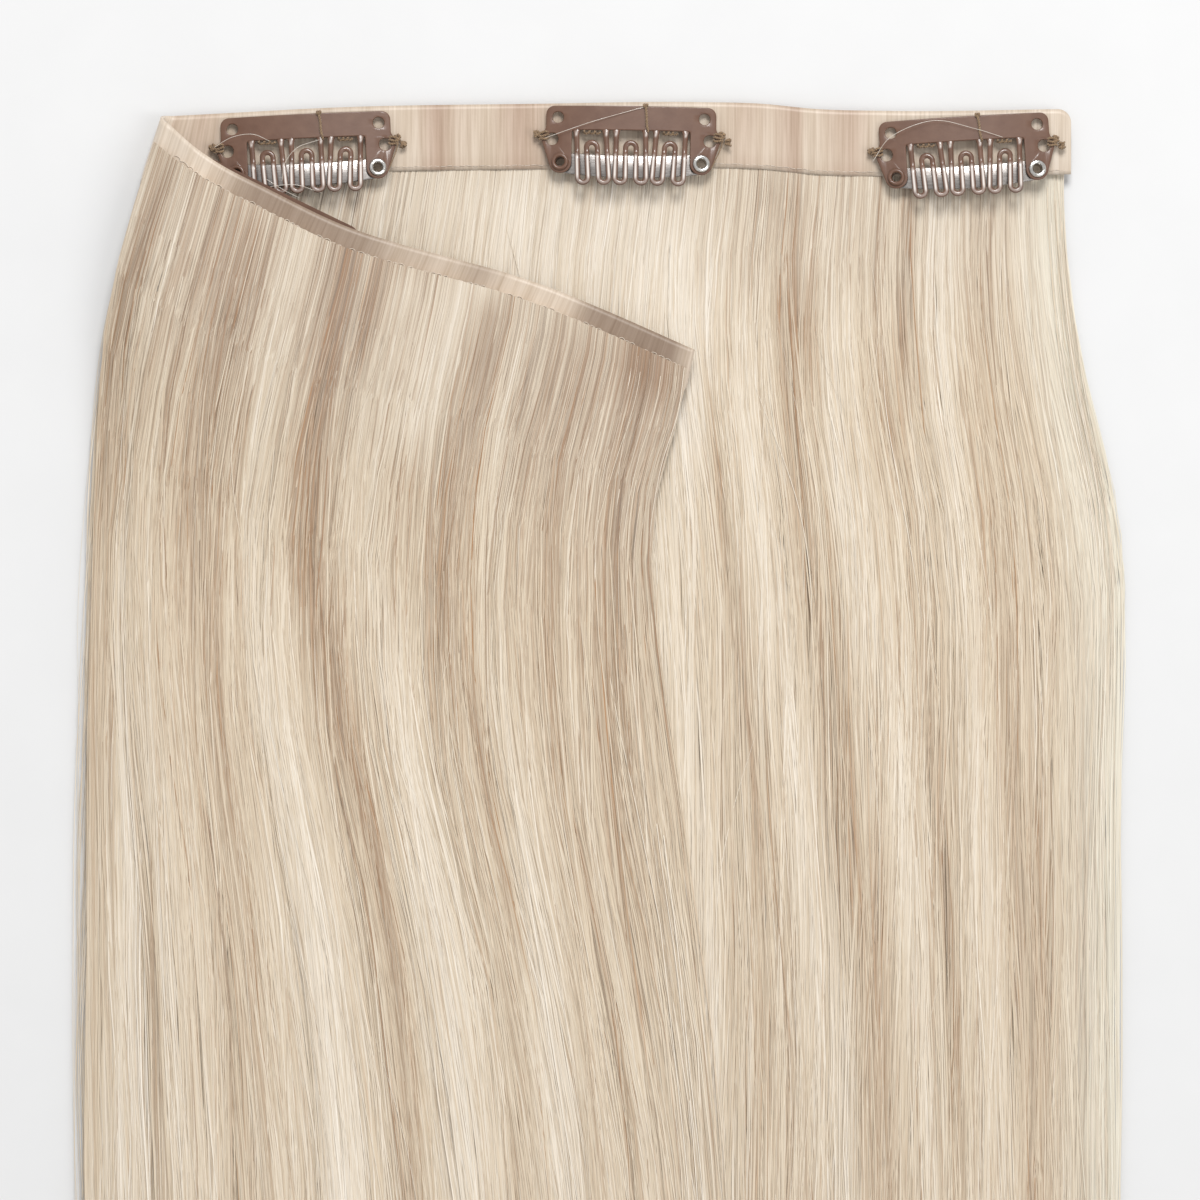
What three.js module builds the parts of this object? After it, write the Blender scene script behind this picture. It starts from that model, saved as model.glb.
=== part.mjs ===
// Clip in hair extension: a see-through tape folded over at its left end, the hair that hangs from it
// in two sheets, three snap clips that show and two under the fold.
// Millimetres, +Z up. The tape runs along X, the hair lies towards -Y, and the origin is on the surface
// that the hair lies on, in the middle of the whole.
import * as THREE from 'three';

// Tape
const TAPE_WIDTH = 11.6;
const TAPE_THICKNESS = 1;
const TAPE_CORNER = 4.4; // radius of the right-hand top corner
const BASE_RUN = 162; // straight part, from the crease to the right-hand end
const FLAP_RUN = 101; // folded part, from the crease to its free end
const FLAP_DIP = 23.4; // degrees by which the folded part runs downhill
const FLAP_END_SLANT = 11; // degrees by which the free end is cut off square
const CREASE_PLACE = 2.9; // run at which the tape starts to turn over
const CREASE_SLANT = 18; // degrees by which the crease leans from a square fold
const CREASE_RADIUS = 2;
const CREASE_REACH = 12; // how far from the crease the tape's cross lines still turn
const LAYER_GAP = 0.3; // clearance between things that lie on each other

// Hair
const HAIR_LENGTH = 400;
const ROOT_INSET = 3.6; // the stitch row, measured from the tape's top edge
const ROOT_DEPTH = 1.5; // thickness of the hair where it is stitched to the tape
const UNDER_DEPTH = 4.2; // full thickness of the sheet that lies on the surface
const OVER_DEPTH = 3; // full thickness of the sheet on top of it
const SETTLE_RUN = 50; // over this run the upper sheet comes down from the flap
const DRAPE_GAP = 0.5; // clearance between the two sheets of hair

// Snap clip, measured from the line through its two rivets
const CLIP_LENGTH = 32;
const BAR_INSET = 0.9; // the bar's ends lie this far inside the shoulders
const BAR_LENGTH = CLIP_LENGTH - 2 * BAR_INSET;
const BAR_TOP = 10.1;
const BAR_HEIGHT = 4.4;
const BAR_CORNER = 1.5;
const SIDE_HEIGHT = 6.2; // where the bar's sides start to flare out
const SHOULDER_HEIGHT = 4.3; // where the clip is widest
const RIVET_INSET = 3.5; // from the shoulders in
const RIVET_SPACING = CLIP_LENGTH - 2 * RIVET_INSET;
const EAR_RADIUS = 2;
const SHEET_METAL = 0.45;
const BOW_METAL = 0.35;
const METAL_GAP = 0.25;
const CORNER_HOLE_INSET = 2.1; // from the bar's end and from its top
const CORNER_HOLE = {
  x: BAR_LENGTH / 2 - CORNER_HOLE_INSET,
  y: BAR_TOP - CORNER_HOLE_INSET,
  radius: 1,
};
const SEWING_HOLE_INSET = 2; // from the shoulders in
const SEWING_HOLE_DROP = 0.2; // below the shoulders
const SEWING_HOLE = {
  x: CLIP_LENGTH / 2 - SEWING_HOLE_INSET,
  y: SHOULDER_HEIGHT - SEWING_HOLE_DROP,
  radius: 1.1,
};
const CLIP_SAG = 1.2; // the clip's ends lie this much lower than its middle
const CLIP_TILT = 6; // degrees, the teeth stand higher than the bar
const HIDDEN_METAL = 1.2; // thickness of a shut clip under the fold

// Comb: three looped teeth of flat wire on a strip
const STRIP_HEIGHT = 0.8;
const COMB_GAP = 0.3;
const COMB_LENGTH = RIVET_SPACING - 2 * (EAR_RADIUS + COMB_GAP);
const TOOTH_COUNT = 3;
const TOOTH_PITCH_ROOT = 0.348 * COMB_LENGTH;
const TOOTH_PITCH_TIP = 0.3235 * COMB_LENGTH;
const LEG_SPREAD = 0.255 * COMB_LENGTH; // between the two legs of one tooth, at the bar
const LOOP_SPREAD = 0.1814 * COMB_LENGTH; // between the centres of one tooth's two lower loops
const LOOP_RADIUS = 0.0441 * COMB_LENGTH; // centre line of a lower loop
const WIRE_WIDTH = 0.94;
const LEG_ROOT = 0.9; // width of a leg where it leaves the bar
const LEG_FLARE = 0.8; // length of the leg's root
const WINDOW_RISE = 0.15; // a tooth's window reaches this far into the strip
const LOOP_DROP = 2.85; // the lower loops' centres lie this far below the rivet line
const ARCH_HEIGHT = 2.55; // centre of the upper loop above the rivet line
const TOOTH_STEP = 0.5; // the teeth step up by this much over the bow
const STEP_TOP = 2; // height where the step starts
const STEP_RUN = 1.2;

// Bow
const BOW_END_RADIUS = 1.8;
const BOW_TOP = 1.3;
const BOW_DROP = 2.8;
const BOW_RISE = 0.3; // its middle bulges up between the teeth

// Rivets
const RIVET_BORE = 0.82;
const RIVET_BARREL = 0.98;
const RIVET_FLANGE = 1.55;
const RIVET_FLANGE_METAL = 0.3;
const RIVET_FIT = 0.27;

// Steps of the faceting
const ARC_STEPS = 4;
const HOLE_STEPS = 5;
const RIVET_SIDES = 10;
const TAPE_STEPS = 18;
const CREASE_STEPS = 6;
const LOCK_STEPS = 3;

// The tape's top edge waves a little: rise as a share of the tape's width, at as a share of the run.
const BASE_WAVE = [
  { at: 0, rise: -0.18 },
  { at: 0.08, rise: -0.12 },
  { at: 0.19, rise: -0.04 },
  { at: 0.42, rise: 0.02 },
  { at: 0.59, rise: 0.045 },
  { at: 0.66, rise: 0.02 },
  { at: 0.72, rise: -0.06 },
  { at: 0.8, rise: -0.09 },
  { at: 1, rise: -0.06 },
];
const FLAP_WAVE = [
  { at: 0, rise: 0 },
  { at: 0.05, rise: -0.15 },
  { at: 0.1, rise: -0.24 },
  { at: 0.2, rise: -0.305 },
  { at: 0.37, rise: -0.35 },
  { at: 0.45, rise: -0.28 },
  { at: 0.54, rise: -0.165 },
  { at: 0.64, rise: -0.035 },
  { at: 0.72, rise: 0.025 },
  { at: 0.8, rise: 0.043 },
  { at: 1, rise: 0.035 },
];
// How high the flap runs: 0 is where the crease ends, 1 the height over the clip beneath, low that at
// the free end.
const FLAP_LIFT = [
  { at: 0, high: 0, low: 0 },
  { at: 0.055, high: 1, low: 0 },
  { at: 0.43, high: 1, low: 0 },
  { at: 0.55, high: 0.55, low: 0.45 },
  { at: 0.66, high: 0, low: 1 },
  { at: 1, high: 0, low: 1 },
];

// Outline of the lower sheet: its two side edges as shares of the base run, down as a share of the hair.
const UNDER_EDGES = [
  { at: 0, left: 0.02, right: 0.996 },
  { at: 0.025, left: -0.005, right: 0.994 },
  { at: 0.06, left: -0.035, right: 0.998 },
  { at: 0.11, left: -0.062, right: 1.012 },
  { at: 0.17, left: -0.078, right: 1.04 },
  { at: 0.3, left: -0.084, right: 1.039 },
  { at: 0.5, left: -0.082, right: 1.043 },
  { at: 0.75, left: -0.07, right: 1.04 },
  { at: 1, left: -0.03, right: 1 },
];
// Sideways drift of the upper sheet's left, middle and right strands, as shares of the base run.
const OVER_DRIFT = [
  { at: 0, left: 0, middle: 0, right: 0 },
  { at: 0.019, left: -0.016, middle: -0.009, right: -0.015 },
  { at: 0.045, left: -0.037, middle: -0.025, right: -0.04 },
  { at: 0.075, left: -0.056, middle: -0.04, right: -0.053 },
  { at: 0.125, left: -0.071, middle: -0.055, right: -0.05 },
  { at: 0.2, left: -0.081, middle: -0.05, right: -0.028 },
  { at: 0.3, left: -0.085, middle: 0, right: 0.003 },
  { at: 0.4, left: -0.084, middle: 0.037, right: 0.022 },
  { at: 0.5, left: -0.081, middle: 0.055, right: 0.031 },
  { at: 0.75, left: -0.068, middle: 0.055, right: 0.025 },
  { at: 1, left: -0.035, middle: 0.05, right: -0.01 },
];
// Thickness along the free hair: swell as a share of what it gains past its roots, taper as a factor.
const HAIR_SWELL = [
  { at: 0, swell: 0, taper: 1 },
  { at: 0.035, swell: 0.3, taper: 1 },
  { at: 0.08, swell: 0.55, taper: 1 },
  { at: 0.16, swell: 0.8, taper: 1 },
  { at: 0.3, swell: 1, taper: 1 },
  { at: 0.6, swell: 1, taper: 1 },
  { at: 0.8, swell: 0.8, taper: 0.9 },
  { at: 1, swell: 0.1, taper: 0.4 },
];
// Rows of each sheet, as shares of a strand's own length.
const HAIR_ROWS = [0, 0.02, 0.035, 0.07, 0.11, 0.17, 0.3, 0.45, 0.65, 0.85, 1];
// The locks that make up a sheet, from left to right: width and height relative to the widest and the
// fullest one, reach as a share of the hair's length.
const LOCKS = [
  { width: 0.6, height: 0.7, reach: 0.955 },
  { width: 1, height: 1, reach: 0.985 },
  { width: 0.75, height: 0.8, reach: 0.96 },
  { width: 0.95, height: 0.95, reach: 1 },
  { width: 0.65, height: 0.75, reach: 0.97 },
  { width: 0.9, height: 1, reach: 0.99 },
  { width: 0.8, height: 0.85, reach: 0.965 },
  { width: 1, height: 0.95, reach: 0.995 },
  { width: 0.7, height: 0.75, reach: 0.975 },
  { width: 0.6, height: 0.65, reach: 0.95 },
];
const LOCK_VALLEY = 0.6; // thickness between two locks, as a share of the full one
const TIP_NOTCH = 0.03; // how far the hair draws back between two tips
const EDGE_SHARE = 0.3; // thickness left at a sheet's side edges
const UNDER_EDGE_REACH = { left: 0.08, right: 0.08 }; // width of the thinning edge
const OVER_EDGE_REACH = { left: 0.08, right: 0.15 };

// Clips that show, placed along the base run; inset is from the tape's top edge to the bar, as a share
// of the tape's width.
const SHOWN_CLIPS = [
  { name: 'clip_1', along: 0.163, inset: 0.08, turn: 2.7 },
  { name: 'clip_2', along: 0.517, inset: 0.055, turn: -0.9 },
  { name: 'clip_3', along: 0.885, inset: 0.1, turn: 3.5 },
];
// Clips under the fold, placed along the flap.
const HIDDEN_CLIPS = [
  { name: 'clip_4', along: 0.225, inset: -0.045, turn: -2.4 },
  { name: 'clip_5', along: 0.815, inset: 0.06, turn: 0 },
];

const TAPE_LIFT = ROOT_DEPTH + LAYER_GAP + TAPE_THICKNESS / 2;
const DIP = THREE.MathUtils.degToRad(FLAP_DIP);
const UP = Math.PI / 2;
const CREASE_LEAN = UP - THREE.MathUtils.degToRad(CREASE_SLANT);
const CREASE_SLIP = CREASE_RADIUS / Math.tan(CREASE_LEAN); // the tape winds down the crease as it turns
const FLAP_LEAN = UP - DIP;
const COVERED_RUN = TAPE_WIDTH - ROOT_INSET; // hair that still lies against the tape
const CLIP_DROP = LOOP_DROP + LOOP_RADIUS + WIRE_WIDTH / 2;

const materials = {
  tape: new THREE.MeshStandardMaterial({ color: 0xdcc8b4, roughness: 0.45, metalness: 0 }),
  hair: new THREE.MeshStandardMaterial({ color: 0xd8c3a8, roughness: 0.5, metalness: 0 }),
  lacquer: new THREE.MeshStandardMaterial({ color: 0x86695c, roughness: 0.25, metalness: 0.4 }),
  nickel: new THREE.MeshStandardMaterial({ color: 0xd9d9d6, roughness: 0.2, metalness: 1 }),
};

// Value of one column of a table at a place between its rows.
function lookUp(rows, column, at) {
  const last = rows[rows.length - 1];
  const above = rows.findIndex((row) => row.at > at);
  if (above < 0) {
    return last[column];
  }
  if (above === 0) {
    return rows[0][column];
  }
  const low = rows[above - 1];
  const high = rows[above];
  return THREE.MathUtils.mapLinear(at, low.at, high.at, low[column], high[column]);
}

// A closed body between two grids of points of the same size, rows of columns. Seen from the first
// grid's side, its rows run anticlockwise from its columns.
function sheetSolid(first, second) {
  const rows = first.length;
  const columns = first[0].length;
  const points = [...first.flat(), ...second.flat()];
  const near = (row, column) => row * columns + column;
  const far = (row, column) => rows * columns + near(row, column);
  const index = [];
  for (let row = 0; row < rows - 1; row++) {
    for (let column = 0; column < columns - 1; column++) {
      const corners = [[row, column], [row + 1, column], [row + 1, column + 1], [row, column + 1]];
      const [a, b, c, d] = corners.map(([i, j]) => near(i, j));
      const [e, f, g, h] = corners.map(([i, j]) => far(i, j));
      index.push(a, b, c, a, c, d, e, g, f, e, h, g);
    }
  }
  const rim = [];
  for (let row = 0; row < rows - 1; row++) {
    rim.push([row, 0]);
  }
  for (let column = 0; column < columns - 1; column++) {
    rim.push([rows - 1, column]);
  }
  for (let row = rows - 1; row > 0; row--) {
    rim.push([row, columns - 1]);
  }
  for (let column = columns - 1; column > 0; column--) {
    rim.push([0, column]);
  }
  rim.forEach(([row, column], i) => {
    const [nextRow, nextColumn] = rim[(i + 1) % rim.length];
    const p = near(row, column);
    const q = near(nextRow, nextColumn);
    const r = far(row, column);
    const s = far(nextRow, nextColumn);
    index.push(p, r, s, p, s, q);
  });
  return new THREE.BufferGeometry().setFromPoints(points).setIndex(index);
}

// Top edge of the base run, in plan.
function baseEdge(run) {
  return new THREE.Vector2(run, TAPE_WIDTH * lookUp(BASE_WAVE, 'rise', run / BASE_RUN));
}

// Top edge of the tape on its way round the crease, in plan.
function creaseEdge(angle) {
  const outward = new THREE.Vector2(-Math.sin(CREASE_LEAN), Math.cos(CREASE_LEAN));
  const downward = new THREE.Vector2(-Math.cos(CREASE_LEAN), -Math.sin(CREASE_LEAN));
  const edge = baseEdge(CREASE_PLACE).addScaledVector(outward, CREASE_RADIUS * Math.sin(angle));
  return edge.addScaledVector(downward, CREASE_SLIP * angle);
}

// Top edge of the flap, in plan.
function flapEdge(run) {
  const rise = TAPE_WIDTH * lookUp(FLAP_WAVE, 'rise', run / FLAP_RUN);
  const along = new THREE.Vector2(Math.cos(-DIP), Math.sin(-DIP));
  const across = new THREE.Vector2(Math.sin(DIP), Math.cos(DIP));
  return creaseEdge(Math.PI).addScaledVector(along, run).addScaledVector(across, rise);
}

// Height of the flap's middle layer: the stack of what lies under it.
function flapHeight(run) {
  const atCrease = TAPE_LIFT + 2 * CREASE_RADIUS;
  const overClip = clipTop() + HIDDEN_METAL + 2 * LAYER_GAP + TAPE_THICKNESS / 2;
  const overHair = coveredDepth() + HIDDEN_METAL + 2 * LAYER_GAP + TAPE_THICKNESS / 2;
  const high = lookUp(FLAP_LIFT, 'high', run / FLAP_RUN);
  const low = lookUp(FLAP_LIFT, 'low', run / FLAP_RUN);
  return atCrease + high * (overClip - atCrease) + low * (overHair - atCrease);
}

// Highest point of the lower sheet under the flap's free end.
function coveredDepth() {
  const lowest = -flapEdge(FLAP_RUN).y + BAR_TOP + CLIP_DROP;
  return sheetDepth(UNDER_DEPTH, lowest) + LAYER_GAP;
}

// Angle of the tape's cross lines, from X, a given run away from the crease.
function leanAt(run, lean) {
  const turned = THREE.MathUtils.clamp(run / CREASE_REACH, 0, 1);
  return CREASE_LEAN + turned * (lean - CREASE_LEAN);
}

// One cross line of the tape: its top and bottom points on both faces.
function tapeStation(edge, lean, width, height, outward) {
  const across = new THREE.Vector3(Math.cos(lean), Math.sin(lean), 0);
  const top = new THREE.Vector3(edge.x, edge.y, height);
  const line = [top, top.clone().addScaledVector(across, -width)];
  const half = TAPE_THICKNESS / 2;
  return {
    clipSide: line.map((point) => point.clone().addScaledVector(outward, -half)),
    hairSide: line.map((point) => point.clone().addScaledVector(outward, half)),
  };
}

// The tape: from the rounded right-hand end along the base, round the crease, and out along the flap.
function tape() {
  const stations = [];
  const down = new THREE.Vector3(0, 0, -1);
  const up = new THREE.Vector3(0, 0, 1);
  const baseStation = (run, drop) => {
    const lean = leanAt(run - CREASE_PLACE, UP);
    const edge = baseEdge(run);
    edge.y -= drop;
    stations.push(tapeStation(edge, lean, TAPE_WIDTH / Math.sin(lean) - drop, TAPE_LIFT, down));
  };
  for (let step = 0; step < ARC_STEPS; step++) {
    const angle = (UP * step) / ARC_STEPS;
    const run = BASE_RUN - TAPE_CORNER * (1 - Math.cos(angle));
    baseStation(run, TAPE_CORNER * (1 - Math.sin(angle)));
  }
  const straight = BASE_RUN - TAPE_CORNER - CREASE_REACH;
  for (let step = 0; step < TAPE_STEPS; step++) {
    baseStation(CREASE_REACH + straight * (1 - step / TAPE_STEPS), 0);
  }
  for (let step = 0; step < ARC_STEPS; step++) {
    baseStation(CREASE_REACH + ((CREASE_PLACE - CREASE_REACH) * step) / ARC_STEPS, 0);
  }
  const outwards = new THREE.Vector3(-Math.sin(CREASE_LEAN), Math.cos(CREASE_LEAN), 0);
  const creaseWidth = TAPE_WIDTH / Math.sin(CREASE_LEAN);
  for (let step = 0; step <= CREASE_STEPS; step++) {
    const angle = (Math.PI * step) / CREASE_STEPS;
    const edge = creaseEdge(angle);
    const height = TAPE_LIFT + CREASE_RADIUS * (1 - Math.cos(angle));
    const normal = outwards.clone().multiplyScalar(Math.sin(angle));
    normal.z = -Math.cos(angle);
    stations.push(tapeStation(edge, CREASE_LEAN, creaseWidth, height, normal));
  }
  for (let step = 1; step <= TAPE_STEPS; step++) {
    const run = (FLAP_RUN * step) / TAPE_STEPS;
    const slant = THREE.MathUtils.degToRad(FLAP_END_SLANT);
    const atEnd = THREE.MathUtils.clamp(1 - (FLAP_RUN - run) / CREASE_REACH, 0, 1);
    const lean = leanAt(run, FLAP_LEAN) + atEnd * slant;
    const width = TAPE_WIDTH / Math.sin(lean + DIP);
    stations.push(tapeStation(flapEdge(run), lean, width, flapHeight(run), up));
  }
  return sheetSolid(stations.map((one) => one.clipSide), stations.map((one) => one.hairSide));
}

// Thickness of a sheet of hair, a given run below its roots.
function sheetDepth(fullDepth, down) {
  const free = (down - COVERED_RUN) / (HAIR_LENGTH - COVERED_RUN);
  const depth = ROOT_DEPTH + (fullDepth - ROOT_DEPTH) * lookUp(HAIR_SWELL, 'swell', free);
  return depth * lookUp(HAIR_SWELL, 'taper', free);
}

// How a sheet thins towards its side edges.
function edgeFactor(across, reach) {
  const inside = Math.min(across / reach.left, (1 - across) / reach.right);
  return THREE.MathUtils.clamp(EDGE_SHARE + (1 - EDGE_SHARE) * inside, EDGE_SHARE, 1);
}

// The columns of a sheet: where each lies across it, its thickness and its reach.
function lockColumns() {
  const total = LOCKS.reduce((sum, lock) => sum + lock.width, 0);
  const columns = [];
  let start = 0;
  const centres = LOCKS.map((lock) => {
    const at = (start + lock.width / 2) / total;
    start += lock.width;
    return { at, reach: lock.reach };
  });
  start = 0;
  LOCKS.forEach((lock, i) => {
    const steps = i === LOCKS.length - 1 ? LOCK_STEPS : LOCK_STEPS - 1;
    for (let step = 0; step <= steps; step++) {
      const part = step / LOCK_STEPS;
      const across = (start + lock.width * part) / total;
      const crown = Math.sqrt(4 * part * (1 - part));
      const height = LOCK_VALLEY + (lock.height - LOCK_VALLEY) * crown;
      const reach = lookUp(centres, 'reach', across) - TIP_NOTCH * (2 * part - 1) ** 2;
      columns.push({ across, height, reach });
    }
    start += lock.width;
  });
  return columns;
}

// Place in plan of a point of the lower sheet.
function underPlace(across, down) {
  const at = down / HAIR_LENGTH;
  const left = BASE_RUN * lookUp(UNDER_EDGES, 'left', at);
  const right = BASE_RUN * lookUp(UNDER_EDGES, 'right', at);
  const x = left + (right - left) * across;
  const rootRun = BASE_RUN * THREE.MathUtils.lerp(UNDER_EDGES[0].left, UNDER_EDGES[0].right, across);
  return new THREE.Vector2(x, baseEdge(rootRun).y - ROOT_INSET - down);
}

// Height of the lower sheet's upper side at a place, without the valleys between its locks.
function underTop(place) {
  const down = -ROOT_INSET - place.y;
  const at = down / HAIR_LENGTH;
  const left = BASE_RUN * lookUp(UNDER_EDGES, 'left', at);
  const right = BASE_RUN * lookUp(UNDER_EDGES, 'right', at);
  const across = (place.x - left) / (right - left);
  return sheetDepth(UNDER_DEPTH, down) * edgeFactor(across, UNDER_EDGE_REACH);
}

// Place in plan of a point of the upper sheet: it starts at the flap's stitch row and drifts sideways.
function overPlace(across, down) {
  const run = FLAP_RUN * across;
  const lean = leanAt(run, FLAP_LEAN);
  const edge = flapEdge(run);
  const root = edge.clone();
  root.x -= ROOT_INSET * Math.cos(lean);
  root.y -= ROOT_INSET * Math.sin(lean);
  const overCrease = CREASE_RADIUS * Math.max(0, 1 - run / CREASE_REACH);
  root.x -= overCrease * Math.sin(CREASE_LEAN);
  root.y += overCrease * Math.cos(CREASE_LEAN);
  const at = down / HAIR_LENGTH;
  const left = lookUp(OVER_DRIFT, 'left', at) * (1 - across) * (1 - 2 * across);
  const middle = lookUp(OVER_DRIFT, 'middle', at) * 4 * across * (1 - across);
  const right = lookUp(OVER_DRIFT, 'right', at) * across * (2 * across - 1);
  return new THREE.Vector2(root.x + BASE_RUN * (left + middle + right), root.y - down);
}

// Height of the upper sheet's underside: on the flap first, then down to the sheet below.
function overFloor(across, down, place) {
  const onFlap = flapHeight(FLAP_RUN * across) + TAPE_THICKNESS / 2 + LAYER_GAP;
  const held = BAR_TOP + CLIP_DROP - ROOT_INSET + LAYER_GAP;
  const settled = THREE.MathUtils.smoothstep(down, held, held + SETTLE_RUN);
  return THREE.MathUtils.lerp(onFlap, underTop(place) + DRAPE_GAP, settled);
}

// A sheet of hair: locks side by side, joined into one body, each with its own tip.
function hairSheet(fullDepth, reach, placeOf, floorOf) {
  const columns = lockColumns();
  const top = [];
  const bottom = [];
  HAIR_ROWS.forEach((row) => {
    const topRow = [];
    const bottomRow = [];
    columns.forEach((column) => {
      const down = row * (HAIR_LENGTH - ROOT_INSET) * column.reach;
      const place = placeOf(column.across, down);
      const floor = floorOf(column.across, down, place);
      const crown = row === 0 ? 1 : column.height;
      const depth = sheetDepth(fullDepth, down) * crown * edgeFactor(column.across, reach);
      bottomRow.push(new THREE.Vector3(place.x, place.y, floor));
      topRow.push(new THREE.Vector3(place.x, place.y, floor + depth));
    });
    top.push(topRow);
    bottom.push(bottomRow);
  });
  return sheetSolid(top, bottom);
}

// Cuts each face where it crosses the planes axis = cut, so that it can bend there.
function cutFaces(geometry, axis, cuts) {
  const position = geometry.getAttribute('position');
  let faces = [];
  for (let i = 0; i < position.count; i += 3) {
    faces.push([i, i + 1, i + 2].map((k) => new THREE.Vector3().fromBufferAttribute(position, k)));
  }
  for (const cut of cuts) {
    faces = faces.flatMap((face) => cutFace(face, axis, cut));
  }
  return new THREE.BufferGeometry().setFromPoints(faces.flat());
}

// One face, cut at the plane axis = cut where it crosses it.
function cutFace(face, axis, cut) {
  const nearness = 1e-4;
  const side = face.map((point) => Math.sign(Math.round((point[axis] - cut) / nearness)));
  if (!side.includes(1) || !side.includes(-1)) {
    return [face];
  }
  const below = [];
  const above = [];
  face.forEach((point, i) => {
    const next = (i + 1) % 3;
    if (side[i] <= 0) {
      below.push(point);
    }
    if (side[i] >= 0) {
      above.push(point);
    }
    if (side[i] * side[next] < 0) {
      const [low, high] = side[i] < 0 ? [point, face[next]] : [face[next], point];
      const crossing = low.clone().lerp(high, (cut - low[axis]) / (high[axis] - low[axis]));
      below.push(crossing);
      above.push(crossing);
    }
  });
  return [below, above].flatMap((ring) => ring.slice(2).map((end, i) => [ring[0], ring[i + 1], end]));
}

// A plate stamped from sheet metal: the outline at its thickness, centred on z = 0, and then bent.
function stamping(shape, metal, cuts, liftOf) {
  const flat = new THREE.ExtrudeGeometry(shape, {
    depth: metal,
    bevelEnabled: false,
    curveSegments: HOLE_STEPS,
  });
  flat.translate(0, 0, -metal / 2);
  let bent = flat;
  for (const [axis, places] of cuts) {
    bent = cutFaces(bent, axis, places);
  }
  const position = bent.getAttribute('position');
  for (let i = 0; i < position.count; i++) {
    position.setZ(i, position.getZ(i) + liftOf(position.getX(i), position.getY(i)));
  }
  return bent;
}

// The clip's arch along its length.
function archLift(x) {
  return -CLIP_SAG * (x / (CLIP_LENGTH / 2)) ** 2;
}

// The step that carries the teeth over the bow.
function stepLift(y) {
  return TOOTH_STEP * THREE.MathUtils.clamp((STEP_TOP - y) / STEP_RUN, 0, 1);
}

// Where the clip's arch is creased: at the ears' inner sides and halfway to the middle.
const archPlaces = [-1, -0.5, 0.5, 1].map((share) => share * (RIVET_SPACING / 2 - EAR_RADIUS));

// Height of a clip's rivet line in its own frame: its lowest corners stand just clear of the tape.
function clipHeight() {
  const tapeTop = TAPE_LIFT + TAPE_THICKNESS / 2;
  const tilted = BAR_TOP * Math.sin(THREE.MathUtils.degToRad(CLIP_TILT));
  return tapeTop + LAYER_GAP + SHEET_METAL / 2 - archLift(BAR_LENGTH / 2) + tilted;
}

// Highest point of a clip that shows.
function clipTop() {
  const tilted = CLIP_DROP * Math.sin(THREE.MathUtils.degToRad(CLIP_TILT));
  return clipHeight() + TOOTH_STEP + SHEET_METAL / 2 + tilted;
}

// Points of an arc, without its first one.
function arc(x, y, radius, from, to) {
  return Array.from({ length: ARC_STEPS }, (_, i) => {
    const angle = from + ((to - from) * (i + 1)) / ARC_STEPS;
    return new THREE.Vector2(x + radius * Math.cos(angle), y + radius * Math.sin(angle));
  });
}

// Right-hand side of the clip's outline, from under its ear up to the top of the bar.
function clipSide() {
  const rivet = RIVET_SPACING / 2;
  const shoulder = new THREE.Vector2(CLIP_LENGTH / 2, SHOULDER_HEIGHT);
  const reach = Math.hypot(shoulder.x - rivet, shoulder.y);
  const tangent = Math.atan2(shoulder.y, shoulder.x - rivet) - Math.acos(EAR_RADIUS / reach);
  const half = BAR_LENGTH / 2;
  return [
    ...arc(rivet, 0, EAR_RADIUS, -UP, tangent),
    shoulder,
    new THREE.Vector2(half, SIDE_HEIGHT),
    new THREE.Vector2(half, BAR_TOP - BAR_CORNER),
    ...arc(half - BAR_CORNER, BAR_TOP - BAR_CORNER, BAR_CORNER, 0, UP),
  ];
}

// A closed outline from its right half, which runs from the bottom to the top.
function mirrored(right) {
  const left = right.map((point) => new THREE.Vector2(-point.x, point.y)).reverse();
  return new THREE.Shape([...right, ...left]);
}

function roundHole(x, y, radius) {
  return new THREE.Path().absarc(x, y, radius, 0, 2 * Math.PI, true);
}

// Bar and ears, with the sewing holes and the rivet holes.
function platePiece() {
  const rivet = RIVET_SPACING / 2;
  const bottom = BAR_TOP - BAR_HEIGHT + STRIP_HEIGHT + COMB_GAP;
  const shape = mirrored([
    new THREE.Vector2(rivet - EAR_RADIUS, bottom),
    new THREE.Vector2(rivet - EAR_RADIUS, 0),
    ...arc(rivet, 0, EAR_RADIUS, Math.PI, 3 * UP),
    ...clipSide(),
  ]);
  for (const side of [-1, 1]) {
    shape.holes.push(roundHole(side * CORNER_HOLE.x, CORNER_HOLE.y, CORNER_HOLE.radius));
    shape.holes.push(roundHole(side * SEWING_HOLE.x, SEWING_HOLE.y, SEWING_HOLE.radius));
    shape.holes.push(roundHole(side * rivet, 0, RIVET_BARREL + RIVET_FIT));
  }
  return stamping(shape, SHEET_METAL, [['x', archPlaces]], archLift);
}

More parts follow.
